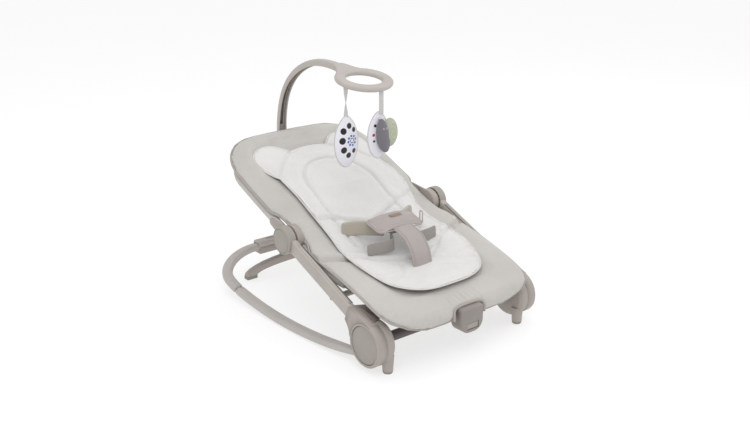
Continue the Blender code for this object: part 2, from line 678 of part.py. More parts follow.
def sag(x, y):
    """How far the sling seat hangs below its edges."""
    along = max(0.0, math.sin(math.pi * min(1.0, max(0.0, (y + 0.060) / 0.420))))
    across = max(0.0, 1 - (x / 0.185) ** 2)
    return SEAT_SAG * along * across ** 1.2


def pad_section(half, thin, power):
    """Cross section of a pad: flat in the middle, rounded at its two edges."""
    shares = (-0.93, -0.70, -0.35, 0.0, 0.35, 0.70, 0.93)
    top = [(half * u, thin * (1 - abs(u) ** power) ** (1 / power)) for u in shares]
    bottom = [(x, -z) for x, z in reversed(top)]
    return [(-half, 0.0)] + top + [(half, 0.0)] + bottom


def pad_rings(line, half_width, low, high, step_count, power=3.4):
    """Flat rings carried along a surface line, between two heights above the surface."""
    path = smooth_path([(0.0, y, z) for y, z in line], 3)
    lengths = [0.0]
    for a, b in zip(path, path[1:]):
        lengths.append(lengths[-1] + (b - a).length)
    rings = []
    for k in range(step_count + 1):
        goal = lengths[-1] * k / step_count
        i = max(j for j, value in enumerate(lengths) if value <= goal + 1e-9)
        i = min(i, len(path) - 2)
        share = (goal - lengths[i]) / (lengths[i + 1] - lengths[i])
        point = path[i].lerp(path[i + 1], share)
        before, after = path[max(i - 1, 0)], path[min(i + 2, len(path) - 1)]
        along = (after - before).normalized()
        normal = Vector((1, 0, 0)).cross(along).normalized()
        half, thin = half_width(k / step_count, point.y)
        middle = (low + high) / 2
        ring = []
        for x, rise in pad_section(half, thin * (high - low) / 2, power):
            ring.append(Vector((x, point.y, point.z)) + normal * (middle + rise - sag(x, point.y)))
        rings.append(ring)
    return rings


def between(table, value):
    """Straight-line reading of a table of (place, size) pairs."""
    for (a, size_a), (b, size_b) in zip(table, table[1:]):
        if value <= b:
            return size_a + (size_b - size_a) * max(0.0, value - a) / (b - a)
    return table[-1][1]


def hub_waist(y):
    """How far each cushion edge steps in to pass the hub's drum."""
    return (SEAT_HALF - DRUM_INNER_X + 0.0015) * min(1.0, max(0.0, (0.074 - abs(y - HUB_Y)) / 0.026))


FRONT_EDGE = [(0.0, 0.108), (0.024, 0.150), (0.048, 0.163), (0.083, 0.178), (0.130, 0.192),
              (0.190, 0.199), (0.260, SEAT_HALF)]      # share of the seat's length, half width


def seat_half(share, y):
    """Half width and thickness share of the seat cushion along its length."""
    return between(FRONT_EDGE, share) - hub_waist(y), 1.0 if share > 0.001 else 0.80


def back_half(share, y):
    """Half width of the backrest cushion: full, then a rounded head."""
    reach = (HEAD_Y - y) / HEAD_CORNER
    if reach >= 1.0:
        return SEAT_HALF - hub_waist(y), 1.0
    reach = max(reach, 0.0)
    side = math.sqrt(max(0.0, 1 - (1 - reach) ** 2.4))
    return 0.088 + (SEAT_HALF - 0.088) * side, 0.82 + 0.18 * min(1.0, reach * 4)


def nose(radius, name):
    return add_object(name, rod(-0.25, 0.25, HUB_Y, HUB_Z, radius, 48), None, cutter=True)


def cushions():
    hole = nose(FOLD_NOSE + 0.0015, "cut_seat_behind_nose")
    seat = loft(pad_rings(SEAT_LINE, seat_half, -PAD_THICKNESS, 0.0, 24))
    seat = add_object("seat_cushion", seat, "beige_fabric")
    boolean(seat, hole)
    front = add_object("cut_unit_opening", block((-0.041, -0.12, 0.0), (0.041, -0.035, UNIT_TOP + 0.0035)),
                       None, cutter=True)
    boolean(seat, front)
    back = loft(pad_rings(BACK_LINE, back_half, -PAD_THICKNESS, 0.0, 20))
    back = add_object("backrest_cushion", back, "beige_fabric")
    trim = add_object("cut_back_front", back_trim(FOLD_NOSE), None, cutter=True)
    boolean(back, trim)
    liner_seat = [(-0.0100, 0.1394)] + [(y, z) for y, z in SEAT_LINE if y > -0.001]
    bm = loft(pad_rings(liner_seat, liner_half, LINER_LIFT, LINER_LIFT + LINER_THICKNESS, 14, 2.6))
    liner = add_object("liner_seat", bm, "white_fabric")
    boolean(liner, hole)
    liner_back = [(y, z) for y, z in BACK_LINE if y < 0.51] + [(0.5220, 0.3224)]
    bm = loft(pad_rings(liner_back, liner_half, LINER_LIFT, LINER_LIFT + LINER_THICKNESS, 12, 2.6))
    liner = add_object("liner_back", bm, "white_fabric")
    boolean(liner, trim)


def back_trim(radius):
    """Everything in front of the backrest's round nose."""
    rings = []
    for x in (-0.25, 0.25):
        ring = [Vector((x, HUB_Y, HUB_Z + 0.10)), Vector((x, HUB_Y - 0.15, HUB_Z + 0.10)),
                Vector((x, HUB_Y - 0.15, HUB_Z - 0.12)), Vector((x, HUB_Y, HUB_Z - 0.12))]
        for i in range(13):
            angle = -math.pi / 2 - math.pi * i / 12
            ring.append(Vector((x, HUB_Y + radius * math.cos(angle), HUB_Z + radius * math.sin(angle))))
        rings.append(ring)
    return loft(rings)


LINER_EDGE = [(-0.010, 0.060), (0.004, 0.090), (0.035, 0.118), (0.075, 0.138), (0.108, 0.146),
              (0.150, 0.148), (0.190, 0.140), (0.235, 0.130), (0.300, 0.132), (0.380, 0.138),
              (0.430, 0.136), (0.455, 0.150), (0.475, 0.154), (0.500, 0.146), (0.514, 0.128),
              (0.522, 0.102)]                           # place along the seat, half width


def liner_half(share, y):
    return between(LINER_EDGE, y), 1.0


# ---------------------------------------------------------------- frame tubes
def under_surface(y, drop):
    """A point a given distance under the cushions' top surface line."""
    ahead, behind = y + 0.004, y - 0.004
    slope = math.atan2(profile_height(ahead) - profile_height(behind), 0.008)
    return Vector((0, y + drop * math.sin(slope), profile_height(y) - drop * math.cos(slope)))


def seat_tube():
    side_run = []
    for y in (0.2440, 0.2150, 0.1800, 0.1450, 0.1100, 0.0750, 0.0450, 0.0150):
        narrow = (1 - math.cos(math.pi * min(1.0, max(0.0, (0.150 - y) / 0.130)))) / 2
        x = -TUBE_X + (TUBE_X - FRONT_TUBE_X) * narrow
        point = under_surface(y, TUBE_DROP + (FRONT_DROP - TUBE_DROP) * narrow + sag(x, y))
        side_run.append(Vector((x, point.y, point.z)))
    corner = []
    last = side_run[-1]
    for i in range(1, 7):
        angle = math.pi / 2 * i / 6
        share = math.sin(angle)
        corner.append(Vector((-FRONT_TUBE_X + FRONT_CORNER * (1 - math.cos(angle)),
                              last.y + (FRONT_RUN_Y - last.y) * share,
                              last.z + (FRONT_RUN_Z - last.z) * share)))
    half = side_run + corner
    path = half + [Vector((0, FRONT_RUN_Y, FRONT_RUN_Z))]
    path += [Vector((-p.x, p.y, p.z)) for p in reversed(half)]
    add_object("seat_tube", sweep(path, TUBE_RADIUS, TUBE_RADIUS, 12), "painted_tube")


def back_tube():
    half = []
    for y in (0.3110, 0.3400, 0.3800, 0.4200, 0.4600):
        point = under_surface(y, TUBE_DROP)
        half.append(Vector((-TUBE_X, point.y, point.z)))
    start = half[-1].y
    end = HEAD_TUBE_Y
    radius_x = 0.105
    for i in range(1, 11):
        angle = math.pi / 2 * i / 10
        y = start + (end - start) * math.sin(angle)
        point = under_surface(y, TUBE_DROP + (FRONT_DROP - TUBE_DROP) * min(1.0, 2.5 * math.sin(angle)))
        half.append(Vector((-TUBE_X + radius_x * (1 - math.cos(angle)), point.y, point.z)))
    path = half + [Vector((-p.x, p.y, p.z)) for p in reversed(half)]
    add_object("backrest_tube", sweep(path, TUBE_RADIUS, TUBE_RADIUS, 12), "painted_tube")


# ---------------------------------------------------------------- harness
def harness():
    """Crotch pad with its flap, the buckle under the flap and the two waist belts."""
    base_y = 0.0800
    top = profile_height(base_y) - sag(0, base_y) + LINER_LIFT + LINER_THICKNESS + 0.0015
    path = smooth_path([(0, base_y, top + 0.003), (0, base_y + 0.008, top + 0.030),
                        (0, base_y + 0.032, top + 0.058), (0, base_y + 0.070, top + 0.0715)], 5)
    pad = add_object("crotch_pad", sweep(path, 0.0265, 0.0022, 16, 4.0, level=False), "taupe_webbing")
    rings = []
    for y, z in ((FLAP_Y, FLAP_Z), (FLAP_Y + FLAP_DEPTH, FLAP_Z + FLAP_RISE)):
        rings.append([Vector((x, y, z + rise)) for x, rise in ((-FLAP_HALF, -0.002), (FLAP_HALF, -0.002),
                                                               (FLAP_HALF, 0.002), (-FLAP_HALF, 0.002))])
    boolean(pad, add_object("join_flap", loft(rings), None, cutter=True), 'UNION')
    low, high = FLAP_Z - 0.0160, FLAP_Z - 0.0020
    buckle = add_object("harness_buckle", block((-0.0260, FLAP_Y + 0.0060, low),
                                                (0.0260, FLAP_Y + 0.0360, high)), "dark_taupe_plastic")
    round_edges(buckle, 0.0020)
    well = add_object("cut_button_well", block((-0.0080, FLAP_Y + 0.0130, low - 0.004),
                                               (0.0080, FLAP_Y + 0.0290, high - 0.008)), None, cutter=True)
    boolean(buckle, well)
    add_object("buckle_button", block((-0.0080 + RUN, FLAP_Y + 0.0130 + RUN, high - 0.0160),
                                      (0.0080 - RUN, FLAP_Y + 0.0290 - RUN, high - 0.0120)),
               "dark_taupe_plastic")
    for side in (-1, 1):
        wing = ribbon([(0.0290, 0.1700, 0.2110), (0.0430, 0.1900, 0.2160), (0.0600, 0.2080, 0.2190),
                       (0.0980, 0.2340, 0.2150)], side, 0.0100)
        belt = add_object(label(side, "waist_belt"), wing, "grey_webbing")
        webbing = ribbon([(0.0290, 0.1720, 0.2060), (0.0310, 0.1540, 0.1990), (0.0390, 0.1410, 0.1920),
                          (0.0620, 0.1400, 0.1890), (0.0970, 0.1460, 0.1880)], side, 0.0120)
        boolean(belt, add_object("join_webbing", webbing, None, cutter=True), 'UNION')


def ribbon(points, side, half_height):
    """A strap standing on its edge along a path."""
    path = smooth_path([(side * x, y, z) for x, y, z in points], 3)
    rings = []
    up = Vector((0, 0, 1))
    for i, point in enumerate(path):
        ahead, behind = path[min(i + 1, len(path) - 1)], path[max(i - 1, 0)]
        across = Vector((ahead.x - behind.x, ahead.y - behind.y, 0)).normalized().cross(up)
        rings.append(oval(point, across, up, 0.0018, half_height, 12, 4.0))
    return loft(rings)


# ---------------------------------------------------------------- vibration unit
def unit_outline(y, shrink=0.0):
    """Face outline of the unit: flat top, sides that run in, round lower corners."""
    half, low, high = UNIT_HALF - shrink, UNIT_BOTTOM + shrink, UNIT_TOP - shrink
    corner = 0.024 - shrink
    ring = [Vector((-half + 0.004, y, high)), Vector((-half, y, high - 0.004))]
    for i in range(7):
        angle = math.pi + math.pi / 2 * i / 6
        ring.append(Vector((-half + corner + corner * math.cos(angle), y,
                            low + corner + corner * math.sin(angle))))
    for i in range(7):
        angle = -math.pi / 2 + math.pi / 2 * i / 6
        ring.append(Vector((half - corner + corner * math.cos(angle), y,
                            low + corner + corner * math.sin(angle))))
    ring += [Vector((half, y, high - 0.004)), Vector((half - 0.004, y, high))]
    return ring


def vibration_unit():
    seam = UNIT_FRONT_Y + 0.0150
    front = add_object("unit_front", loft([unit_outline(UNIT_FRONT_Y, 0.003), unit_outline(UNIT_FRONT_Y + 0.003),
                                           unit_outline(seam - FIT / 2)]), "dark_taupe_plastic")
    inside = loft([unit_outline(UNIT_FRONT_Y + UNIT_WALL, 0.005), unit_outline(seam + 0.01, UNIT_WALL + 0.0005)])
    boolean(front, add_object("cut_unit_front", inside, None, cutter=True))
    well = block((-0.0170, UNIT_FRONT_Y - 0.01, UNIT_BOTTOM + 0.0080),
                 (0.0170, UNIT_FRONT_Y + 0.01, UNIT_BOTTOM + 0.0230))
    boolean(front, add_object("cut_unit_button", well, None, cutter=True))
    back = add_object("unit_back", loft([unit_outline(seam + FIT / 2), unit_outline(UNIT_BACK_Y - 0.003),
                                         unit_outline(UNIT_BACK_Y, 0.003)]), "dark_taupe_plastic")
    inside = loft([unit_outline(seam - 0.01, UNIT_WALL + 0.0005), unit_outline(UNIT_BACK_Y - UNIT_WALL, 0.005)])
    boolean(back, add_object("cut_unit_back", inside, None, cutter=True))
    button = block((-0.0170 + RUN, UNIT_FRONT_Y + 0.0010, UNIT_BOTTOM + 0.0080 + RUN),
                   (0.0170 - RUN, UNIT_FRONT_Y + 0.0060, UNIT_BOTTOM + 0.0230 - RUN))
    button = add_object("unit_button", button, "taupe_plastic")
    round_edges(button, 0.0012)
    add_object("unit_battery", rod(-0.0235, 0.0235, seam + 0.0040, UNIT_TOP - 0.0160, 0.0100, 20),
               "battery_grey")
    axis_z = UNIT_BOTTOM + 0.0170
    add_object("unit_motor", rod(-0.0150, 0.0040, seam + 0.0085, axis_z, 0.0085, 16), "steel")
    weight = half_disc(0.0075, 0.0135, seam + 0.0085, axis_z, 0.0085)
    add_object("unit_weight", weight, "steel")


def half_disc(x0, x1, y, z, radius):
    rings = []
    for x in (x0, x1):
        ring = []
        for i in range(13):
            angle = -math.pi + math.pi * i / 12
            ring.append(Vector((x, y + radius * math.cos(angle), z + radius * math.sin(angle))))
        for i in range(5):
            angle = math.pi * (i + 1) / 6
            ring.append(Vector((x, y + 0.003 * math.cos(angle), z + 0.003 * math.sin(angle))))
        rings.append(ring)
    return loft(rings)


# ---------------------------------------------------------------- toy bar
def toy_bar():
    socket_z = BAR_AXIS_Z
    socket_front = under_surface(HEAD_TUBE_Y, FRONT_DROP).y + TUBE_RADIUS + 2 * FIT
    socket = block((-0.0210, socket_front, socket_z - 0.0170), (0.0210, BAR_AXIS_Y + 0.0130, socket_z + 0.0090))
    socket = add_object("bar_socket", socket, "taupe_plastic")
    round_edges(socket, 0.003)
    slot = add_object("cut_bar_slot", block((-BAR_WIDTH / 2 - RUN, BAR_AXIS_Y - 0.0500, socket_z - 0.0110),
                                            (BAR_WIDTH / 2 + RUN, BAR_AXIS_Y + 0.0500, socket_z + 0.05)),
                      None, cutter=True)
    boolean(socket, slot)
    bore = add_object("cut_bar_bore", rod(-0.0195, 0.0195, BAR_AXIS_Y, socket_z, 0.0030 + FIT, 16),
                      None, cutter=True)
    boolean(socket, bore)
    add_object("bar_pin", rod(-0.0190, 0.0190, BAR_AXIS_Y, socket_z, 0.0030, 16), "steel")
    line = smooth_path([(0, BAR_AXIS_Y, socket_z - 0.002), (0, 0.6065, 0.355), (0, 0.5980, 0.405),
                        (0, 0.5800, 0.448), (0, 0.5480, 0.487), (0, 0.5020, 0.517), (0, 0.4480, 0.5340),
                        (0, 0.3980, 0.5370), (0, 0.3640, 0.5345),
                        (0, RING_Y + RING_RADIUS * math.cos(RING_TILT) + 0.0034,
                         RING_Z + RING_RADIUS * math.sin(RING_TILT) + 0.0005)], 2)
    rings = []
    last = len(line) - 1
    for i, point in enumerate(line):
        along = (line[min(i + 1, last)] - line[max(i - 1, 0)]).normalized()
        out = along.cross(Vector((1, 0, 0)))
        share = i / last
        half = BAR_WIDTH / 2 * (1 - 0.18 * math.sin(math.pi * share))
        rings.append(channel_ring(point, out, half, BAR_DEPTH, 0.0028))
    arm = add_object("bar_arm", loft(rings), "taupe_plastic")
    boss = add_object("join_bar_boss", rod(-BAR_WIDTH / 2, BAR_WIDTH / 2, BAR_AXIS_Y, socket_z, 0.0088, 24),
                      None, cutter=True)
    boolean(arm, boss, 'UNION')
    boolean(arm, bore)
    ring = turned_z([(RING_HOLE, -RING_HEIGHT / 2 + 0.004), (RING_HOLE, RING_HEIGHT / 2 - 0.004),
                     (RING_HOLE + 0.004, RING_HEIGHT / 2), (RING_RADIUS - 0.005, RING_HEIGHT / 2),
                     (RING_RADIUS, RING_HEIGHT / 2 - 0.004), (RING_RADIUS, -RING_HEIGHT / 2 + 0.004),
                     (RING_RADIUS - 0.005, -RING_HEIGHT / 2), (RING_HOLE + 0.004, -RING_HEIGHT / 2)],
                    RING_Y, RING_Z, 32)
    bmesh.ops.rotate(ring, verts=ring.verts, cent=(0, RING_Y, RING_Z), matrix=Matrix.Rotation(RING_TILT, 3, 'X'))
    add_object("toy_ring", ring, "taupe_plastic")


def channel_ring(point, out, half, depth, wall):
    """A U section, open towards the seat, with a crowned back."""
    across = Vector((1, 0, 0))
    shape = [(-half, -depth / 2), (-half, depth * 0.15), (-half * 0.80, depth * 0.38), (-half * 0.4, depth / 2),
             (half * 0.4, depth / 2), (half * 0.80, depth * 0.38), (half, depth * 0.15), (half, -depth / 2),
             (half - wall, -depth / 2), (half - wall, depth * 0.10), (half * 0.36, depth / 2 - wall),
             (-half * 0.36, depth / 2 - wall), (-half + wall, depth * 0.10), (-half + wall, -depth / 2)]
    return [point + across * x + out * d for x, d in shape]


def turned_z(profile, y, z, segments):
    bm = bmesh.new()
    verts = [bm.verts.new((radius, 0.0, height)) for radius, height in profile]
    edges = [bm.edges.new((verts[i - 1], verts[i])) for i in range(len(verts))]
    bmesh.ops.spin(bm, geom=verts + edges, cent=(0, 0, 0), axis=(0, 0, 1), angle=2 * math.pi,
                   steps=segments, use_merge=True)
    bmesh.ops.remove_doubles(bm, verts=bm.verts, dist=0.00002)
    bmesh.ops.translate(bm, verts=bm.verts, vec=(0, y, z))
    return bm


def under_ring(y):
    """Height just under the tilted ring."""
    return RING_Z + (y - RING_Y) * math.tan(RING_TILT) - RING_HEIGHT / 2 / math.cos(RING_TILT) - 2 * RUN


def toys():
    top = strap(TOY_LEFT, LEFT_STRAP, "toy_strap_left")
    add_object("toy_leaf_left", leaf(TOY_LEFT, top, 0.0600, 0.1140, 0.0220), "toy_white")
    x, y = TOY_FRONT
    top = strap(TOY_FRONT, FRONT_STRAP, "toy_strap_front")
    rings = []
    for i in range(13):
        share = i / 12
        half = 0.0180 * math.sin(math.pi * (0.08 + 0.84 * share)) ** 0.6
        rings.append(oval(Vector((x - 0.006 + 0.006 * share, y - 0.0030, top - 0.0120 - 0.078 * share)),
                          Vector((1, 0, 0)), Vector((0, 1, 0)), half, half * 0.60, 12, 2.0))
    snail = add_object("toy_snail", loft(rings), "toy_grey")
    shell = bmesh.new()
    bmesh.ops.create_uvsphere(shell, u_segments=12, v_segments=8, radius=1.0)
    bmesh.ops.scale(shell, verts=shell.verts, vec=(0.0205, 0.0150, 0.0330))
    bmesh.ops.translate(shell, verts=shell.verts, vec=(x + 0.0200, y - 0.0040, top - 0.0560))
    boolean(snail, add_object("join_snail_shell", shell, None, cutter=True), 'UNION')
    back = leaf((x - 0.002, y + 0.0080), top, 0.0520, 0.1020, 0.0120)
    boolean(snail, add_object("join_snail_leaf", back, None, cutter=True), 'UNION')


def strap(place, length, name):
    """A flat hanging band; returns the height where its toy begins."""
    x, y = place
    top = under_ring(y)
    rings = []
    for i in range(9):
        turn = math.pi * 0.5 * i / 8
        across = Vector((math.cos(turn), math.sin(turn), 0))
        through = Vector((-math.sin(turn), math.cos(turn), 0))
        rings.append(oval(Vector((x, y, top - length * i / 8)), across, through, 0.0050, 0.0010, 8, 3.0))
    add_object(name, loft(rings), "white_fabric")
    return top - length - RUN


def leaf(place, top, width, height, thickness):
    """A flat padded almond."""
    x, y = place
    rings = []
    for i in range(13):
        share = i / 12
        bulge = math.sin(math.pi * (0.03 + 0.94 * share))
        rings.append(oval(Vector((x, y, top - height * share)), Vector((1, 0, 0)), Vector((0, 1, 0)),
                          width / 2 * bulge ** 0.8, thickness / 2 * bulge ** 0.5, 12, 2.0))
    return loft(rings)


# ---------------------------------------------------------------- build
clear_scene()
PARTS = new_collection("bouncer_seat")
CUTTERS = new_collection("cutters")
rails()
rear_tube()
foot_bore = rear_bracket()
stabiliser(foot_bore)
housings()
struts()
cushions()
seat_tube()
back_tube()
recline_plates()
harness()
vibration_unit()
toy_bar()
toys()
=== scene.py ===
"""Looks for the rocking bouncer seat: sewn cover, quilted liner, harness, toys and finishes."""
import json
import math

import bmesh
import bpy
import numpy as np
from mathutils import Matrix, Vector, noise


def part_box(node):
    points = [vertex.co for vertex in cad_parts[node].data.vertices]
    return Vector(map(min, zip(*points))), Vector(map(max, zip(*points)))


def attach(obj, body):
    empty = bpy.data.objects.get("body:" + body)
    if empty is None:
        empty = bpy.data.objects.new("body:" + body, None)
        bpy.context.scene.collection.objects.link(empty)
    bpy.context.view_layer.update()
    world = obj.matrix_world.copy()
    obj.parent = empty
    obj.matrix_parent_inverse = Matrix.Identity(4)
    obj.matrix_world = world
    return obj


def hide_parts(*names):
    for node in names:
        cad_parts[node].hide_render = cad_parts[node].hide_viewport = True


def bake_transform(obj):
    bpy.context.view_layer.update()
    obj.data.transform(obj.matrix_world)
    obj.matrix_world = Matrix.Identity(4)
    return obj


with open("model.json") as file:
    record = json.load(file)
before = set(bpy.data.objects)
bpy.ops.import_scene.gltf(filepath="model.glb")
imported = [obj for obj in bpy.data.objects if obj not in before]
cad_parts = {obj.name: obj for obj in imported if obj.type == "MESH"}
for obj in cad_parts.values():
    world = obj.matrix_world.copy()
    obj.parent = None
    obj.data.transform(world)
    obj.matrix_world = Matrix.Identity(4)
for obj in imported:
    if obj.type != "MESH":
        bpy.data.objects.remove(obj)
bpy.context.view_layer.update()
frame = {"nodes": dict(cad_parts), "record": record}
NODES = frame["nodes"]
SIDES = ((-1, "left"), (1, "right"))
BODY_OF = {n: body for body, ns in frame["record"]["behaviour"]["bodies"].items() for n in ns}

# ------------------------------------------------------------------ seat profile, metres
SHIFT = -0.2695
SEAT_LINE = [(-0.0735, 0.0860), (-0.0720, 0.1040), (-0.0620, 0.1190), (-0.0400, 0.1285), (0.0000, 0.1430),
             (0.0500, 0.1590), (0.1040, 0.1735), (0.1500, 0.1830), (0.1850, 0.1905), (0.2300, 0.2050),
             (0.2820, 0.2235), (0.3400, 0.2450), (0.4000, 0.2690), (0.4600, 0.2945), (0.5200, 0.3215),
             (0.5860, 0.3525)]
COVER_HALF = 0.2000
COVER_THICK = 0.0220
HUB_Y = 0.2820
HEAD_Y = 0.5860
LINER_LIFT = 0.0026
LINER_THICK = 0.0100
RING_HOLE = 0.0400
RING_THICK = 0.0140
RING_TILT = math.radians(9)
SEAT_CREASE = 0.2830
BACK_CREASE = 0.4290
CREASE_SLOPE = 0.36
HEM_DROP = 0.0257
HEM_HALF = 0.1940
HEM_RADIUS = 0.0094
SWELL_FRAMES = 20


def spline(points, steps):
    """Points along a smooth curve through the given ones."""
    pts = [Vector(p) for p in points]
    out = []
    for i in range(len(pts) - 1):
        a, b = pts[i], pts[i + 1]
        before = pts[i - 1] if i else a - (b - a)
        after = pts[i + 2] if i + 2 < len(pts) else b + (b - a)
        for k in range(steps):
            t = k / steps
            out.append(0.5 * ((2 * a) + (b - before) * t + (2 * before - 5 * a + 4 * b - after) * t * t
                              + (3 * a - before - 3 * b + after) * t ** 3))
    out.append(pts[-1])
    return out


def flat_spline(points, steps):
    """Flat points along a smooth curve through the given flat ones."""
    return [(p.x, p.y) for p in spline([(a, b, 0) for a, b in points], steps)]


PROFILE = np.array(flat_spline(SEAT_LINE, 12))
STEP = np.hypot(*np.diff(PROFILE, axis=0).T)
RUN = np.concatenate([[0], np.cumsum(STEP)])
TANGENT = np.gradient(PROFILE, RUN, axis=0)
TANGENT /= np.hypot(*TANGENT.T)[:, None]
LENGTH = RUN[-1]


def run_at(y):
    """Length along the profile at a place along the seat, past the front edge."""
    return float(np.interp(y, PROFILE[10:, 0], RUN[10:]))


def sag(x, y):
    along = np.sin(np.pi * np.clip((y + 0.060) / 0.420, 0, 1))
    across = np.maximum(0, 1 - (x / 0.185) ** 2) ** 1.2
    return 0.0340 * np.maximum(along, 0) * across


def lay(points):
    """Flat pattern points (across, along, up) laid on the sagging seat, in the object's frame."""
    p = np.asarray(points, float)
    x, s, n = p.T
    y, z = np.interp(s, RUN, PROFILE[:, 0]), np.interp(s, RUN, PROFILE[:, 1])
    ty, tz = np.interp(s, RUN, TANGENT[:, 0]), np.interp(s, RUN, TANGENT[:, 1])
    over = np.where(s > LENGTH, s - LENGTH, np.where(s < 0, s, 0))
    rise = n - sag(x, y)
    return np.column_stack([x, y + ty * over - tz * rise + SHIFT, z + tz * over + ty * rise])


# ------------------------------------------------------------------ small tools
def smoothstep(value, low, high):
    t = np.clip((value - low) / (high - low), 0, 1)
    return t * t * (3 - 2 * t)


def piece(name, source, material, body=None, smooth=True):
    """A finished object from a bmesh or a mesh, riding on a body."""
    if isinstance(source, bmesh.types.BMesh):
        mesh = bpy.data.meshes.new(name)
        source.to_mesh(mesh)
        source.free()
    else:
        mesh = source
    obj = bpy.data.objects.new(name, mesh)
    bpy.context.scene.collection.objects.link(obj)
    mesh.materials.clear()
    mesh.materials.append(material)
    if smooth:
        mesh.polygons.foreach_set("use_smooth", [True] * len(mesh.polygons))
    if body:
        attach(obj, body)
    return obj


def applied(obj):
    """Turns an object's modifiers into plain mesh."""
    graph = bpy.context.evaluated_depsgraph_get()
    mesh = bpy.data.meshes.new_from_object(obj.evaluated_get(graph))
    old = obj.data
    obj.modifiers.clear()
    obj.data = mesh
    bpy.data.meshes.remove(old)
    return obj


def coords(mesh):
    co = np.empty(len(mesh.vertices) * 3)
    mesh.vertices.foreach_get("co", co)
    return co.reshape(-1, 3)


def set_coords(mesh, co):
    mesh.vertices.foreach_set("co", np.ascontiguousarray(co, float).ravel())
    mesh.update()


def node_bmesh(node):
    bm = bmesh.new()
    bm.from_mesh(NODES[node].data)
    bmesh.ops.remove_doubles(bm, verts=bm.verts, dist=0.00002)
    return bm


def refined(node, material, edge, levels, angle=28):
    """A hard part's own shape with rounded edges, shown in place of its plain solid."""
    bm = node_bmesh(node)
    bmesh.ops.join_triangles(bm, faces=bm.faces, angle_face_threshold=math.radians(12),
                             angle_shape_threshold=math.radians(50))
    sharp = [e for e in bm.edges if len(e.link_faces) == 2
             and e.calc_face_angle(0) > math.radians(angle)]
    if edge and sharp:
        bmesh.ops.bevel(bm, geom=sharp, offset=edge, offset_type='OFFSET', affect='EDGES', segments=2,
                        profile=0.5, material=-1, clamp_overlap=True, harden_normals=False)
        bmesh.ops.remove_doubles(bm, verts=bm.verts, dist=0.00001)
    obj = piece(node + "_look", bm, material, BODY_OF[node])
    if levels:
        mod = obj.modifiers.new("rounding", 'SUBSURF')
        mod.levels = mod.render_levels = levels
    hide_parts(node)


def tube(name, points, radius, material, body, resolution=4, closed=False):
    """A round bead or cord along points, as mesh."""
    curve = bpy.data.curves.new(name, 'CURVE')
    curve.dimensions = '3D'
    curve.bevel_depth = radius
    curve.bevel_resolution = resolution
    curve.use_fill_caps = True
    run = curve.splines.new('POLY')
    run.points.add(len(points) - 1)
    for p, point in zip(run.points, points):
        p.co = (*point, 1)
    run.use_cyclic_u = closed
    holder = bpy.data.objects.new(name + "_line", curve)
    bpy.context.scene.collection.objects.link(holder)
    graph = bpy.context.evaluated_depsgraph_get()
    mesh = bpy.data.meshes.new_from_object(holder.evaluated_get(graph))
    bpy.data.objects.remove(holder)
    bm = bmesh.new()
    bm.from_mesh(mesh)
    bpy.data.meshes.remove(mesh)
    bmesh.ops.remove_doubles(bm, verts=bm.verts, dist=0.00002)
    return piece(name, bm, material, body)


def outward(bm):
    bmesh.ops.remove_doubles(bm, verts=bm.verts, dist=0.00001)
    bmesh.ops.recalc_face_normals(bm, faces=bm.faces)
    return bm


def slab(outline, low, high):
    """A flat blank cut to an outline, with thickness."""
    bm = bmesh.new()
    verts = [bm.verts.new((x, y, low)) for x, y in outline]
    face = bm.faces.new(verts)
    top = bmesh.ops.extrude_face_region(bm, geom=[face])
    bmesh.ops.translate(bm, verts=[v for v in top["geom"] if isinstance(v, bmesh.types.BMVert)],
                        vec=(0, 0, high - low))
    return outward(bm)


def remeshed(obj, voxel):
    mod = obj.modifiers.new("even_mesh", 'REMESH')
    mod.mode = 'VOXEL'
    mod.voxel_size = voxel
    mod.use_smooth_shade = True
    return applied(obj)


def swell(obj, pressure, pin):
    """Fills a sewn shape with air by simulation and returns where its points went."""
    mod = obj.modifiers.new("filling", 'CLOTH')
    cloth = mod.settings
    cloth.quality = 4
    cloth.mass = 0.25
    cloth.use_pressure = True
    cloth.uniform_pressure_force = pressure
    cloth.effector_weights.gravity = 0
    cloth.tension_stiffness = 15
    cloth.compression_stiffness = 15
    cloth.shear_stiffness = 5
    cloth.bending_stiffness = 0.4
    cloth.air_damping = 2
    cloth.vertex_group_mass = pin
    mod.point_cache.frame_start, mod.point_cache.frame_end = 1, SWELL_FRAMES
    scene = bpy.context.scene
    for number in range(1, SWELL_FRAMES + 1):
        scene.frame_set(number)
    graph = bpy.context.evaluated_depsgraph_get()
    mesh = bpy.data.meshes.new_from_object(obj.evaluated_get(graph))
    after = coords(mesh)
    bpy.data.meshes.remove(mesh)
    obj.modifiers.clear()
    scene.frame_set(1)
    return after


def nearest_on_outline(xy, outline):
    """Distance of each point to a closed outline, and how far round it lies."""
    line = np.asarray(outline, float)
    a, b = line, np.roll(line, -1, axis=0)
    ab = b - a
    size = np.maximum((ab ** 2).sum(1), 1e-12)
    start = np.concatenate([[0], np.cumsum(np.sqrt(size))[:-1]])
    best = np.full(len(xy), 1e9)
    where = np.zeros(len(xy))
    for i in range(len(a)):
        t = np.clip(((xy - a[i]) @ ab[i]) / size[i], 0, 1)
        d = np.hypot(*(xy - a[i] - t[:, None] * ab[i]).T)
        closer = d < best
        best[closer] = d[closer]
        where[closer] = start[i] + t[closer] * math.sqrt(size[i])
    return best, where


def distance_to_path(xy, path):
    line = np.asarray(path, float)
    best = np.full(len(xy), 1e9)
    for p, q in zip(line[:-1], line[1:]):
        pq = q - p
        t = np.clip(((xy - p) @ pq) / max(float(pq @ pq), 1e-12), 0, 1)
        best = np.minimum(best, np.hypot(*(xy - p - t[:, None] * pq).T))
    return best


def rough(points, size, seed):
    """Soft random field between -1 and 1."""
    places = [Vector((x / size + seed, y / size - seed, z / size)) for x, y, z in points]
    return np.array([noise.noise(place) for place in places])


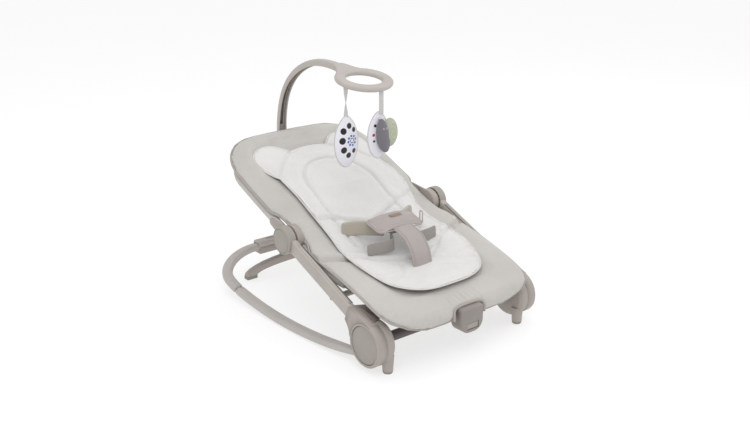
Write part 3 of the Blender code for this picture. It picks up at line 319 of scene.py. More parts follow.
def on_side(points, side):
    """Points of the right half on the side asked for: -1 is left, 1 is right."""
    return [(side * x, s) for x, s in points]


def headings(path):
    """The direction of travel at each point of a path."""
    last = len(path) - 1
    return [(path[min(i + 1, last)] - path[max(i - 1, 0)]).normalized() for i in range(last + 1)]


# ------------------------------------------------------------------ materials
def new_material(name):
    mat = bpy.data.materials.new(name)
    mat.use_nodes = True
    tree = mat.node_tree
    tree.nodes.clear()
    out = tree.nodes.new("ShaderNodeOutputMaterial")
    shader = tree.nodes.new("ShaderNodeBsdfPrincipled")
    tree.links.new(shader.outputs["BSDF"], out.inputs["Surface"])
    return mat, tree, shader


def node(tree, kind, inputs=None, **settings):
    n = tree.nodes.new(kind)
    for key, value in settings.items():
        setattr(n, key, value)
    for key, value in (inputs or {}).items():
        if isinstance(value, bpy.types.NodeSocket):
            tree.links.new(value, n.inputs[key])
        else:
            n.inputs[key].default_value = value
    return n


def place_coords(tree):
    return node(tree, "ShaderNodeTexCoord").outputs["Object"]


def speckle(tree, place, scale, detail, roughness=0.5):
    """Noise between 0 and 1; a larger scale is finer."""
    return node(tree, "ShaderNodeTexNoise", {"Vector": place, "Scale": scale, "Detail": detail,
                                             "Roughness": roughness}).outputs["Fac"]


def added(tree, first, second):
    return node(tree, "ShaderNodeMath", {0: first, 1: second}, operation='ADD').outputs[0]


def multiplied(tree, first, second):
    """Two colours multiplied."""
    return node(tree, "ShaderNodeMix", {0: 1.0, 6: first, 7: second}, data_type='RGBA',
                blend_type='MULTIPLY').outputs[2]


def relief(tree, shader, height, strength, depth):
    """Fine relief in the shading, depth in metres."""
    bump = node(tree, "ShaderNodeBump", {"Height": height, "Strength": strength, "Distance": depth})
    tree.links.new(bump.outputs["Normal"], shader.inputs["Normal"])


def set_inputs(shader, values):
    for key, value in values.items():
        shader.inputs[key].default_value = value


def ramp(tree, value, low, high, dark, light):
    """Colour that goes from dark to light as the value goes from low to high."""
    n = node(tree, "ShaderNodeValToRGB", {"Fac": value})
    n.color_ramp.elements[0].position, n.color_ramp.elements[1].position = low, high
    n.color_ramp.elements[0].color = (*dark, 1)
    n.color_ramp.elements[1].color = (*light, 1)
    return n.outputs["Color"]


def scaled(colour, factor):
    return tuple(min(1.0, c * factor) for c in colour)


def srgb(*values):
    """A colour given in screen values from 0 to 255, as the shader's linear values."""
    return tuple(c / 255 / 12.92 if c <= 10 else ((c / 255 + 0.055) / 1.055) ** 2.4 for c in values)


def weave_height(tree, place, pitch):
    """Over-and-under threads in all three directions."""
    total = None
    for axis in ("X", "Y", "Z"):
        wave = node(tree, "ShaderNodeTexWave", {"Vector": place, "Scale": 0.314 / pitch, "Distortion": 0.6,
                                                "Detail": 1.0, "Detail Scale": 2.0},
                    wave_type='BANDS', bands_direction=axis, wave_profile='SIN')
        value = wave.outputs["Fac"]
        total = value if total is None else added(tree, total, value)
    return total


def cloth_material(name, colour, pitch=0.0011, depth=0.00025):
    """Woven cloth: threads in relief with painted shade in the gaps between them, and slow changes of tone."""
    mottling, fleck_and_gap_shade = 0.06, 0.08
    mat, tree, shader = new_material(name)
    place = place_coords(tree)
    broad = speckle(tree, place, 9.0, 3.0)
    fine = speckle(tree, place, 620.0, 2.0, 0.7)
    weave = weave_height(tree, place, pitch)
    tone = ramp(tree, broad, 0.30, 0.70, scaled(colour, 1 - mottling), scaled(colour, 1 + mottling * 0.6))
    thread = ramp(tree, fine, 0.30, 0.70, scaled((1, 1, 1), 1 - fleck_and_gap_shade), (1, 1, 1))
    # painted shade: the cloth's colour darkens where the weave is low, in the gaps between threads
    gaps = ramp(tree, weave, 0.9, 1.8, scaled((1, 1, 1), 1 - fleck_and_gap_shade), (1, 1, 1))
    final = multiplied(tree, multiplied(tree, tone, thread), gaps)
    tree.links.new(final, shader.inputs["Base Color"])
    relief(tree, shader, added(tree, weave, fine), 0.55, depth)
    set_inputs(shader, {"Roughness": 0.9, "Sheen Weight": 0.25, "Sheen Roughness": 0.5,
                        "Specular IOR Level": 0.25})
    return mat


def knit_material(name, colour):
    """A soft knit with rows of small raised dots, and painted shade between them."""
    cell, depth = 0.0030, 0.0006
    mat, tree, shader = new_material(name)
    place = place_coords(tree)
    dots = node(tree, "ShaderNodeTexVoronoi", {"Vector": place, "Scale": 1 / cell, "Randomness": 0.35},
                feature='SMOOTH_F1').outputs["Distance"]
    fine = speckle(tree, place, 900.0, 2.0)
    broad = speckle(tree, place, 12.0, 3.0)
    tone = ramp(tree, broad, 0.3, 0.7, scaled(colour, 0.955), scaled(colour, 1.02))
    # painted shade: the colour darkens between the raised dots
    pits = ramp(tree, dots, 0.25, 0.75, (1, 1, 1), (0.90, 0.895, 0.885))
    tree.links.new(multiplied(tree, tone, pits), shader.inputs["Base Color"])
    low = node(tree, "ShaderNodeMath", {0: 1.0, 1: dots}, operation='SUBTRACT').outputs[0]
    relief(tree, shader, added(tree, low, fine), 0.6, depth)
    set_inputs(shader, {"Roughness": 0.95, "Sheen Weight": 0.35, "Sheen Roughness": 0.6,
                        "Specular IOR Level": 0.2})
    return mat


def moulded_material(name, colour, roughness=0.42, grain=0.00006, coat=0.0):
    """Moulded plastic or paint: fine grain, slow colour change, slightly worn gloss."""
    mat, tree, shader = new_material(name)
    place = place_coords(tree)
    broad = speckle(tree, place, 14.0, 4.0)
    fine = speckle(tree, place, 900.0, 3.0, 0.6)
    worn = speckle(tree, place, 60.0, 6.0, 0.7)
    tone = ramp(tree, broad, 0.3, 0.7, scaled(colour, 0.95), scaled(colour, 1.05))
    tree.links.new(tone, shader.inputs["Base Color"])
    gloss = node(tree, "ShaderNodeMapRange", {"Value": worn, "From Min": 0.3, "From Max": 0.7,
                                              "To Min": roughness - 0.05, "To Max": roughness + 0.08})
    tree.links.new(gloss.outputs["Result"], shader.inputs["Roughness"])
    relief(tree, shader, fine, 0.5, grain)
    set_inputs(shader, {"Coat Weight": coat, "Coat Roughness": 0.35})
    return mat


def brushed_material(name, colour):
    """Bare metal with fine lines along x."""
    mat, tree, shader = new_material(name)
    stretch = node(tree, "ShaderNodeMapping", {"Vector": place_coords(tree), "Scale": (30.0, 900.0, 900.0)})
    lines = speckle(tree, stretch.outputs["Vector"], 1.0, 3.0)
    tree.links.new(ramp(tree, lines, 0.3, 0.7, scaled(colour, 0.86), scaled(colour, 1.05)),
                   shader.inputs["Base Color"])
    gloss = node(tree, "ShaderNodeMapRange", {"Value": lines, "To Min": 0.24, "To Max": 0.44})
    tree.links.new(gloss.outputs["Result"], shader.inputs["Roughness"])
    relief(tree, shader, lines, 0.3, 0.00005)
    set_inputs(shader, {"Metallic": 1.0})
    return mat


def spotted_material(name, ground, spots):
    """Plush with round embroidered spots: (centre x, z, radius, colour) on the piece's own face."""
    soft_edge = 0.0004
    mat, tree, shader = new_material(name)
    place = place_coords(tree)
    parts = node(tree, "ShaderNodeSeparateXYZ", {"Vector": place})
    flat = node(tree, "ShaderNodeCombineXYZ", {"X": parts.outputs["X"], "Y": 0.0, "Z": parts.outputs["Z"]})
    colour = None
    for x, z, radius, tint in spots:
        gap = node(tree, "ShaderNodeVectorMath", {0: flat.outputs[0], 1: (x, 0.0, z)}, operation='DISTANCE')
        inside = node(tree, "ShaderNodeMapRange", {"Value": gap.outputs["Value"], "To Min": 1.0, "To Max": 0.0,
                                                   "From Min": radius - soft_edge,
                                                   "From Max": radius + soft_edge})
        mix = node(tree, "ShaderNodeMix", {0: inside.outputs["Result"], 7: (*tint, 1)}, data_type='RGBA')
        if colour is None:
            mix.inputs[6].default_value = (*ground, 1)
        else:
            tree.links.new(colour, mix.inputs[6])
        colour = mix.outputs[2]
    tree.links.new(colour, shader.inputs["Base Color"])
    fine = speckle(tree, place, 900.0, 2.0)
    relief(tree, shader, added(tree, weave_height(tree, place, 0.0009), fine), 0.5, 0.0002)
    set_inputs(shader, {"Roughness": 0.88, "Sheen Weight": 0.3})
    return mat


beige_cloth = cloth_material("beige_cover_cloth", srgb(198, 195, 190))
beige_shade = cloth_material("beige_binding", srgb(178, 170, 164), pitch=0.0008)
white_knit = knit_material("white_liner_knit", srgb(218, 217, 216))
white_binding = cloth_material("white_liner_binding", srgb(226, 224, 221), pitch=0.0007)
taupe_pad = cloth_material("taupe_harness_cloth", srgb(178, 169, 166), pitch=0.0008)
belt_cloth = cloth_material("belt_wing_cloth", srgb(184, 176, 164), pitch=0.0009)
grey_webbing = cloth_material("grey_webbing", srgb(158, 153, 148), pitch=0.0016, depth=0.0005)
taupe_plastic = moulded_material("taupe_moulding", srgb(163, 154, 148))
taupe_face = moulded_material("taupe_face_moulding", srgb(155, 150, 142), roughness=0.48)
dark_taupe = moulded_material("dark_taupe_moulding", srgb(140, 133, 128), roughness=0.45)
pale_taupe = moulded_material("pale_taupe_moulding", srgb(178, 171, 166), roughness=0.40)
rail_paint = moulded_material("rail_paint", srgb(178, 173, 169), 0.36, 0.00003, coat=0.15)
strut_paint = moulded_material("strut_paint", srgb(172, 165, 159), 0.38, 0.00003, coat=0.12)
tube_paint = moulded_material("tube_paint", srgb(150, 143, 137), 0.40, 0.00003)
# painted shade: a dark moulding laid where there is only shade, in the arm's channel, the strut grooves, and
# on the front cross tube and rail lugs
shadow_plastic = moulded_material("painted_shade_moulding", srgb(96, 88, 84), roughness=0.55)
foot_rubber = moulded_material("foot_rubber", srgb(140, 138, 128), roughness=0.78, grain=0.00012)
zinc_steel = brushed_material("zinc_steel", (0.56, 0.56, 0.57))
cell_wrap = moulded_material("cell_wrap", srgb(86, 86, 90), roughness=0.35)
seam_thread = cloth_material("seam_thread", srgb(206, 200, 195), pitch=0.0005)
strap_white = cloth_material("white_strap_cloth", srgb(208, 207, 205), pitch=0.0008)
label_metal = brushed_material("label_frame_metal", (0.60, 0.52, 0.42))
label_dark = cloth_material("label_cloth", srgb(150, 132, 116), pitch=0.0006)


FRONT_EDGE = ((0.0, 0.003, 0.010, 0.020, 0.035, 0.055, 0.080, 0.110),
              (0.106, 0.124, 0.147, 0.162, 0.177, 0.191, 0.1985, 0.200))


def half_width(s, y):
    """Half width of the cover: round front corners, a step in at the hub's drum, a round head."""
    lower = np.interp(s, *FRONT_EDGE) - 0.0138 * np.clip((0.072 - np.abs(y - HUB_Y)) / 0.026, 0, 1)
    reach = np.clip((HEAD_Y - y) / 0.115, 0, 1)
    upper = 0.088 + (COVER_HALF - 0.088) * np.sqrt(np.maximum(0, 1 - (1 - reach) ** 2.4))
    return np.minimum(lower, upper)


def cover_outline():
    """The cover's flat pattern: rounded head, rounded front corners, a notch for the vibration unit."""
    side = []
    places = [[0.0, 0.0015], np.linspace(0.003, 0.10, 18), np.linspace(0.115, LENGTH - 0.13, 24),
              LENGTH - 0.12 * np.cos(np.linspace(0.2, np.pi / 2, 14))]
    for s in np.concatenate(places):
        y = float(np.interp(s, RUN, PROFILE[:, 0]))
        side.append((float(half_width(s, y)), float(s)))
    notch = [(0.041, 0.0), (0.041, 0.014), (0.0395, 0.0208), (0.035, 0.0252), (0.028, 0.0272),
             (0.014, 0.0284)]
    return side + on_side(side[::-1], -1) + on_side(notch, -1) + [(0.0, 0.0288)] + notch[::-1]


def filled(obj, outline, thick, edge_round, voxel, cap, pressure):
    """Rounds a flat blank's edges, fills it with its border held as a seam, and limits how far it swells."""
    co = coords(obj.data)
    away, _ = nearest_on_outline(co[:, :2], outline)
    ease = np.sqrt(1 - (1 - np.clip(away / edge_round, 0, 1)) ** 2)
    co[:, 2] *= 0.12 + 0.88 * ease
    set_coords(obj.data, co)
    remeshed(obj, voxel)
    rest = coords(obj.data)
    away, _ = nearest_on_outline(rest[:, :2], outline)
    seam = obj.vertex_groups.new(name="seam")
    held = np.nonzero((away < voxel * 0.7) & (np.abs(rest[:, 2]) < thick * 0.3))[0]
    seam.add([int(i) for i in held], 1.0, 'REPLACE')
    moved = swell(obj, pressure, "seam")
    shift = moved - rest
    size = np.maximum(np.linalg.norm(shift, axis=1), 1e-9)
    limit = cap(rest)
    shift *= np.minimum(1, limit / size)[:, None]
    set_coords(obj.data, rest + shift)
    mod = obj.modifiers.new("fine", 'SUBSURF')
    mod.levels = mod.render_levels = 1
    return applied(obj)


def crease_run(x, at_edge):
    """Where a cross crease lies: it starts at the cover's edge and runs towards the front at the middle."""
    return at_edge - CREASE_SLOPE * (COVER_HALF - np.abs(x))


def sewn_cover():
    """The beige seat cover: one padded shell from the foot end to the head."""
    outline = cover_outline()
    half = COVER_THICK / 2
    obj = piece("seat_cover", slab(outline, -half + 0.002, half - 0.002), beige_cloth)
    remeshed(obj, 0.005)

    def cap(p):
        away, _ = nearest_on_outline(p[:, :2], outline)
        under_liner = smoothstep(0.150 - np.abs(p[:, 0]), 0.0, 0.03) * smoothstep(0.66 - p[:, 1], 0, 0.03) \
            * smoothstep(p[:, 1], 0.08, 0.11)
        return 0.0015 + 0.0060 * smoothstep(away, 0.0, 0.03) * (1 - 0.85 * under_liner)

    filled(obj, outline, COVER_THICK, 0.016, 0.0055, cap, 4.0)
    p = coords(obj.data)
    away, around = nearest_on_outline(p[:, :2], outline)
    top = smoothstep(p[:, 2], -0.002, 0.006)
    x, s = p[:, 0], p[:, 1]
    # the fold where the seat meets the back, at both sides of the liner
    fold = crease_run(x, SEAT_CREASE)
    gap = (s - fold) / 0.0070
    p[:, 2] -= top * 0.0085 * np.exp(-gap ** 2) * smoothstep(np.abs(x), 0.06, 0.12)
    p[:, 2] += top * 0.0035 * np.exp(-((s - fold - 0.016) / 0.012) ** 2) * smoothstep(np.abs(x), 0.08, 0.12)
    # short gathers along the border seam, strongest round the head's shoulders and by the hubs
    field = rough(p, 0.045, 3.1)
    along_gather = np.exp(-((s - 0.585) / 0.055) ** 2) + 0.9 * np.exp(-((s - 0.390) / 0.035) ** 2) \
        + 0.5 * np.exp(-((s - 0.06) / 0.05) ** 2)
    wave = np.sin(around / 0.0165 * 2 * np.pi + 5 * field)
    p[:, 2] += 0.0017 * wave * along_gather * np.exp(-((away - 0.020) / 0.016) ** 2) * np.abs(field + 0.3)
    # the fuller roll round the head
    p[:, 2] += top * 0.0120 * smoothstep(s, 0.50, 0.62) * np.exp(-((away - 0.034) / 0.020) ** 2)
    # gathers over the vibration unit
    near_unit = np.exp(-((s - 0.048) / 0.016) ** 2) * smoothstep(0.055 - np.abs(x), 0, 0.02)
    p[:, 2] += top * 0.0012 * np.sin(x / 0.0135 * 2 * np.pi + 2 * field) * near_unit
    p[:, 2] += 0.0012 * rough(p, 0.080, 8.4) + 0.0005 * rough(p, 0.028, 1.7)
    p[:, 2] -= half
    set_coords(obj.data, lay(p))
    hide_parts("seat_cushion", "backrest_cushion")
    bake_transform(obj)
    # binding bead round the border, dipping with it
    path = flat_spline(outline + outline[:1], 3)[:-1]
    flat = [(x * 1.004, s, -half - 0.001) for x, s in path]
    bead = tube("cover_binding", lay(flat), 0.0023, beige_shade, None, closed=True)
    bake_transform(bead)
    # hems that wrap the frame tubes below the pad's edge
    for side, word in SIDES:
        runs = {"seat": [(side * x, run_at(y), -drop) for x, y, drop in
                         ((0.1862, 0.1020, 0.0268), (0.1903, 0.1200, 0.0262), (0.1935, 0.1450, HEM_DROP),
                          (HEM_HALF, 0.1850, HEM_DROP), (HEM_HALF, 0.2220, HEM_DROP),
                          (HEM_HALF, 0.2420, HEM_DROP))],
                "back": [(side * HEM_HALF, run_at(y), -HEM_DROP) for y in (0.3160, 0.3500, 0.4000, 0.4550)]}
        for i in range(1, 11):
            angle = math.pi / 2 * i / 10
            across = side * (0.0890 + 0.1050 * math.cos(angle))
            drop = HEM_DROP + 0.0045 * min(1.0, 2.5 * math.sin(angle))
            runs["back"].append((across, run_at(0.46 + 0.10 * math.sin(angle)), -drop))
        for where, line in runs.items():
            line = [(x, s, n + float(sag(x, np.interp(s, RUN, PROFILE[:, 0])))) for x, s, n in line]
            hem = tube(f"tube_hem_{where}_{word}", lay(line), HEM_RADIUS, beige_cloth,
                       "seat_frame" if where == "seat" else "backrest", resolution=6)


LINER_SIDE = [(0.0, 0.089), (0.030, 0.089), (0.055, 0.091), (0.078, 0.097), (0.100, 0.109), (0.120, 0.131),
              (0.134, 0.160), (0.143, 0.198), (0.147, 0.240), (0.143, 0.290), (0.134, 0.335), (0.130, 0.380),
              (0.129, 0.450), (0.130, 0.510), (0.1315, 0.548)]
LINER_LOBE = [(0.1315, 0.548), (0.144, 0.565), (0.1535, 0.588), (0.157, 0.612), (0.149, 0.638),
              (0.130, 0.656), (0.106, 0.663), (0.082, 0.658), (0.063, 0.643), (0.052, 0.630)]
LINER_TOP = [(0.052, 0.630), (0.036, 0.6335), (0.018, 0.636), (0.0, 0.637)]
# stitched channels and soft folds, right half: across, along
PANEL_SEAM = [(0.036, 0.573), (0.067, 0.548), (0.083, 0.515), (0.088, 0.47), (0.089, 0.40), (0.090, 0.300)]
LOBE_SEAM = [(0.131, 0.552), (0.106, 0.585), (0.075, 0.613), (0.052, 0.632)]
SOFT_FOLDS = (([(0.118, 0.262), (0.080, 0.228), (0.052, 0.210)], 0.0036, 0.0045),
              ([(0.040, 0.200), (0.075, 0.166), (0.118, 0.150)], 0.0036, 0.0055),
              ([(0.070, 0.185), (0.110, 0.176), (0.138, 0.182)], 0.0028, 0.0045))


def liner_outline():
    """The liner lies a little askew: its right side spreads further over the back."""
    right = []
    for part in (LINER_SIDE, LINER_LOBE, LINER_TOP):
        right += flat_spline(part, 4)[:-1]
    right.append(LINER_TOP[-1])
    left = on_side(right[-2:0:-1], -1)
    spread = [(x + (0.034 * math.exp(-((s - 0.475) / 0.085) ** 2) if x > 0.1 else 0.0), s) for x, s in right]
    return spread + left


def quilted_liner():
    """The white padded liner with two rounded lobes beside the head."""
    outline = liner_outline()
    half = LINER_THICK / 2
    obj = piece("padded_liner", slab(outline, -half + 0.001, half - 0.001), white_knit)
    remeshed(obj, 0.0035)

    def cap(p):
        away, _ = nearest_on_outline(p[:, :2], outline)
        return 0.0008 + 0.0035 * smoothstep(away, 0.0, 0.02)

    filled(obj, outline, LINER_THICK, 0.007, 0.0042, cap, 3.0)
    p = coords(obj.data)
    away, around = nearest_on_outline(p[:, :2], outline)
    x, s = p[:, 0], p[:, 1]
    top = smoothstep(p[:, 2], -0.001, 0.002)
    p[:, 2] *= 1 - 0.42 * np.exp(-((away - 0.0085) / 0.0020) ** 2)
    panel = on_side(PANEL_SEAM[::-1], -1) + [(0.0, 0.580)] + PANEL_SEAM
    to_panel = distance_to_path(p[:, :2], flat_spline(panel, 5))
    p[:, 2] -= top * 0.0048 * np.exp(-(to_panel / 0.0030) ** 2)
    p[:, 2] += top * 0.0024 * np.exp(-((to_panel - 0.014) / 0.010) ** 2)
    lobe = np.minimum(distance_to_path(p[:, :2], LOBE_SEAM),
                      distance_to_path(p[:, :2], on_side(LOBE_SEAM, -1)))
    p[:, 2] -= top * 0.0042 * np.exp(-(lobe / 0.0034) ** 2)
    # folds where the seat bends, and the soft folds towards the front corners
    for edge, depth, wide in ((SEAT_CREASE, 0.0056, 0.0050), (BACK_CREASE, 0.0042, 0.0048)):
        fold = crease_run(x, edge)
        p[:, 2] -= top * depth * np.exp(-((s - fold) / wide) ** 2)
        p[:, 2] += top * 0.0030 * np.exp(-((s - fold - 0.013) / 0.009) ** 2)
    for side in (-1, 1):
        for line, depth, wide in SOFT_FOLDS:
            vee = distance_to_path(p[:, :2], on_side(line, side))
            p[:, 2] -= top * depth * np.exp(-(vee / wide) ** 2)
    p[:, 2] += 0.0016 * rough(p, 0.060, 2.2) + 0.0008 * rough(p, 0.022, 6.1)
    # edge lifts a little off the sagging seat at the foot end
    p[:, 2] += 0.0060 * smoothstep(0.150 - s, 0.0, 0.055) + 0.0022 * smoothstep(0.012 - away, 0, 0.012)
    p[:, 2] += LINER_LIFT + half
    set_coords(obj.data, lay(p))
    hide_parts("liner_seat", "liner_back")
    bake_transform(obj)
    lift = [0.0060 * float(smoothstep(0.150 - b, 0.0, 0.055)) + 0.0022 for a, b in outline]
    flat = [(a, b, LINER_LIFT + half + up - 0.0006) for (a, b), up in zip(outline, lift)]
    bead = tube("liner_binding", lay(flat), 0.0016, white_binding, None, closed=True)
    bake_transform(bead)


def unit_surround():
    """The bound opening in the cover round the vibration unit."""
    notch = [(0.0425, -0.001), (0.0425, 0.014), (0.0410, 0.0217), (0.0362, 0.0266), (0.028, 0.0288),
             (0.014, 0.0301), (0.0, 0.0305)]
    line = notch + on_side(notch[-2::-1], -1)
    path = flat_spline(line, 4)
    for name, lift, radius in (("opening_binding_outer", -0.0050, 0.0032),
                               ("opening_binding_inner", -0.0110, 0.0026)):
        bead = tube(name, lay([(x, s, lift) for x, s in path]), radius, beige_shade, "seat_frame")


STRAP_SECTION = [(-1, 0), (-0.93, 0.75), (-0.80, 1), (-0.4, 1.08), (0, 1.1), (0.4, 1.08), (0.80, 1),
                 (0.93, 0.75), (1, 0), (0.93, -0.75), (0.80, -1), (0.4, -1), (0, -1), (-0.4, -1), (-0.80, -1),
                 (-0.93, -0.75)]


def strap_sweep(name, path, widths, thick, material, body, normal_hint=(0, 0, 1), levels=1, roll=None):
    """A flat padded strap along a path, with rounded edges; widths is one half width or one per point."""
    bm = bmesh.new()
    rings = []
    for i, (point, along) in enumerate(zip(path, headings(path))):
        side = along.cross(Vector(normal_hint)).normalized() if roll is None else roll[i]
        up = side.cross(along).normalized()
        half = widths[i] if isinstance(widths, list) else widths
        places = [point + side * (half * a) + up * (thick / 2 * b) for a, b in STRAP_SECTION]
        rings.append([bm.verts.new(place) for place in places])
    edges = []
    for ring in rings:
        edges.append([bm.edges.new((ring[k - 1], ring[k])) for k in range(len(ring))])
    for a, b in zip(edges, edges[1:]):
        bmesh.ops.bridge_loops(bm, edges=a + b)
    for ring in (rings[0], rings[-1]):
        bm.faces.new(ring)
    bmesh.ops.recalc_face_normals(bm, faces=bm.faces)
    obj = piece(name, bm, material, body)
    if levels:
        mod = obj.modifiers.new("rounding", 'SUBSURF')
        mod.levels = mod.render_levels = levels
    return obj


def moved_y(points):
    return [(x, y + SHIFT, z) for x, y, z in points]


STRAP_FOOT = (0.0800, 0.1517)
FLAP_BACK = (0.1980, 0.2340)
FLAP_FRONT = (0.1440, 0.2205)


def crotch_strap():
    """The padded strap that rises from the seat's slot to the flap over the buckle."""
    y, z = STRAP_FOOT
    rise = ((-0.002, -0.010), (0, 0.006), (0.007, 0.030), (0.028, 0.054), (0.055, 0.066), (0.080, 0.072))
    path = spline(moved_y([(0, y + back, z + up) for back, up in rise]), 4)
    strap = strap_sweep("crotch_strap", path, 0.0272, 0.0065, taupe_pad, "seat_frame", (0, -0.3, 1))
    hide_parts("crotch_pad")
    for side, word in SIDES:
        line = []
        for point, along in zip(path, headings(path)):
            across = along.cross(Vector((0, -0.3, 1))).normalized()
            up = across.cross(along).normalized()
            line.append(point + across * (side * 0.0208) + up * 0.0033)
        seam = tube("strap_seam_" + word, line, 0.0009, taupe_pad, "seat_frame", resolution=2)


def rounded_rectangle(half_x, half_y, radius, steps=6):
    out = []
    x, y = half_x - radius, half_y - radius
    for cx, cy, start in ((x, y, 0), (-x, y, 90), (-x, -y, 180), (x, -y, 270)):
        for i in range(steps + 1):
            a = math.radians(start + 90 * i / steps)
            out.append((cx + radius * math.cos(a), cy + radius * math.sin(a)))
    return out


def buckle_flap():
    """The soft flap over the buckle, with bound edge and a blank sewn label."""
    half_x, half_y = 0.0630, 0.0290
    outline = rounded_rectangle(half_x, half_y, 0.0140)
    obj = piece("buckle_flap", slab(outline, -0.0025, 0.0025), taupe_pad)
    remeshed(obj, 0.0018)

    def cap(p):
        away, _ = nearest_on_outline(p[:, :2], outline)
        return 0.0005 + 0.0030 * smoothstep(away, 0.002, 0.016)

    filled(obj, outline, 0.0050, 0.0040, 0.0020, cap, 5.0)
    p = coords(obj.data)
    away, _ = nearest_on_outline(p[:, :2], outline)
    p[:, 2] *= 1 - 0.35 * np.exp(-((away - 0.0055) / 0.0010) ** 2)

    def set_flap(q):
        """Lays the flap's flat points over the buckle: dropping to the front and at both ends."""
        q = np.asarray(q, float)
        share = (q[:, 1] + half_y) / (2 * half_y)
        y = FLAP_FRONT[0] + (FLAP_BACK[0] - FLAP_FRONT[0]) * share
        z = FLAP_FRONT[1] + (FLAP_BACK[1] - FLAP_FRONT[1]) * share + 0.004 * np.sin(np.pi * share)
        reach = q[:, 0] / half_x
        z -= 0.0080 * np.abs(reach) ** 2.2 + 0.0060 * np.clip(reach, 0, 1) ** 2 * (1 - share)
        return np.column_stack([q[:, 0] - 0.002, y + SHIFT, z + q[:, 2] + 0.0035])

    set_coords(obj.data, set_flap(p))
    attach(obj, "seat_frame")
    for name, inset, lift, radius, material in (("flap_binding", 0.0, 0.0, 0.0014, taupe_pad),
                                                ("flap_seam", 0.0055, 0.0026, 0.0005, seam_thread)):
        ring = rounded_rectangle(half_x - inset, half_y - inset, 0.0140 - inset)
        bead = tube(name, set_flap([(a, b, lift) for a, b in ring]), radius, material, "seat_frame",
                    closed=True, resolution=2)
    # blank label in a thin metal frame
    centre = (0.003, 0.001)
    for name, grow, lift, thick, material in (("label_frame", 0.0012, 0.0050, 0.0010, label_metal),
                                              ("label_patch", 0.0, 0.0058, 0.0008, label_dark)):
        ring = rounded_rectangle(0.0150 + grow, 0.0050 + grow, 0.0015, 2)
        plate = slab([(a + centre[0], b + centre[1]) for a, b in ring], lift, lift + thick)
        mesh = bpy.data.meshes.new(name)
        plate.to_mesh(mesh)
        plate.free()
        set_coords(mesh, set_flap(coords(mesh)))
        plate_obj = piece(name, mesh, material, "seat_frame", smooth=False)


def standing_strap(name, points, half, thick, material):
    """A strap on its edge along a path laid out from the fold axis."""
    path = spline(moved_y(points), 4)
    rolls = [Vector((0, 0.10, 1)).normalized()] * len(path)
    return strap_sweep(name, path, half, thick, material, "seat_frame", roll=rolls)


def waist_belts():
    """Padded belt wings beside the buckle, and the webbing in front that runs to its lower side."""
    wing_halves = [0.0150] + [0.0168] * 9 + [0.0160, 0.0150, 0.0140, 0.0130, 0.0120, 0.0110, 0.0100]
    for side, word in SIDES:
        wing = standing_strap("belt_wing_" + word,
                              [(side * 0.1000, 0.2350, 0.2095), (side * 0.0800, 0.2240, 0.2120),
                               (side * 0.0600, 0.2080, 0.2135), (side * 0.0430, 0.1900, 0.2110),
                               (side * 0.0300, 0.1720, 0.2080)],
                              wing_halves, 0.0075, belt_cloth)
        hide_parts("waist_belt_" + word)
        web = standing_strap("belt_webbing_" + word,
                             [(side * 0.0985, 0.1470, 0.1880), (side * 0.0700, 0.1400, 0.1890),
                              (side * 0.0420, 0.1360, 0.1900), (side * 0.0300, 0.1400, 0.1920),
                              (side * 0.0290, 0.1540, 0.1990)],
                             0.0135, 0.0022, grey_webbing)
    # the adjuster that stands at the flap's right end
    ring = rounded_rectangle(0.0135, 0.0045, 0.0030, 3)
    path = [Vector((0.0620, 0.1560 + SHIFT + b, 0.2270 + a)) for a, b in ring]
    loop = tube("belt_adjuster", path, 0.0014, pale_taupe, "seat_frame", closed=True)


def strut_details():
    """Raised rib on each strut's upper edge, painted paler as the ridge's highlight, and a dark bead in the
    groove beside it as painted shade.
    """
    angle = math.radians(22.4)
    for side, word in SIDES:
        # the rib is a real raised ridge whose paler colour paints its highlight; the groove's dark bead is
        # painted shade
        beads = (("strut_rib_painted_highlight", 0.0020, 0.0150, 0.0022, pale_taupe),
                 ("strut_groove_painted_shade", -0.0045, 0.0148, 0.0011, shadow_plastic))
        for name, offset, lift, radius, material in beads:
            low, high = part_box("strut_" + word)
            centre_x = (low.x + high.x) / 2
            line = []
            for i in range(13):
                along = 0.070 + (0.262 - 0.070) * i / 12
                y = along * math.cos(angle) - lift * math.sin(angle)
                z = 0.0887 + along * math.sin(angle) + lift * math.cos(angle)
                line.append(Vector((centre_x + side * offset, y + SHIFT, z)))
            rib = tube(name + "_" + word, line, radius, material, "seat_frame")


# parts finished alike, their material, edge rounding in metres and levels of smoothing
HARD_PARTS = (
    ("rail_left rail_right rear_cross_tube", rail_paint, 0.0, 1),
    ("bracket_upper", pale_taupe, 0.0014, 0),
    ("bracket_lower stabiliser_foot", taupe_plastic, 0.0010, 0),
    ("stabiliser_pad_left stabiliser_pad_right", foot_rubber, 0.0010, 0),
    ("peg_foot_left peg_foot_right", foot_rubber, 0.0006, 0),
    ("housing_inner_left housing_inner_right", taupe_plastic, 0.0012, 0),
    ("housing_outer_left housing_outer_right", taupe_plastic, 0.0012, 0),
    ("fold_button_left fold_button_right", taupe_face, 0.0008, 0),
    ("hub_shell_left hub_shell_right", taupe_face, 0.0010, 0),
    ("hub_button_left hub_button_right", taupe_face, 0.0008, 0),
    ("recline_plate_left recline_plate_right", taupe_plastic, 0.0008, 0),
    ("strut_left strut_right", strut_paint, 0.0012, 0),
    ("seat_support_bar", tube_paint, 0.0006, 0),
    ("seat_tube backrest_tube", tube_paint, 0.0, 1),
    ("unit_front unit_back", dark_taupe, 0.0012, 0),
    ("unit_button", taupe_face, 0.0006, 0),
    ("harness_buckle", dark_taupe, 0.0008, 0),
    ("buckle_button", taupe_plastic, 0.0006, 0),
    ("bar_socket", taupe_plastic, 0.0010, 0),
    # painted shade: the front cross tube and rail lugs take the dark shade moulding
    ("front_cross_tube rail_lug_left rail_lug_right", shadow_plastic, 0.0006, 0),
)
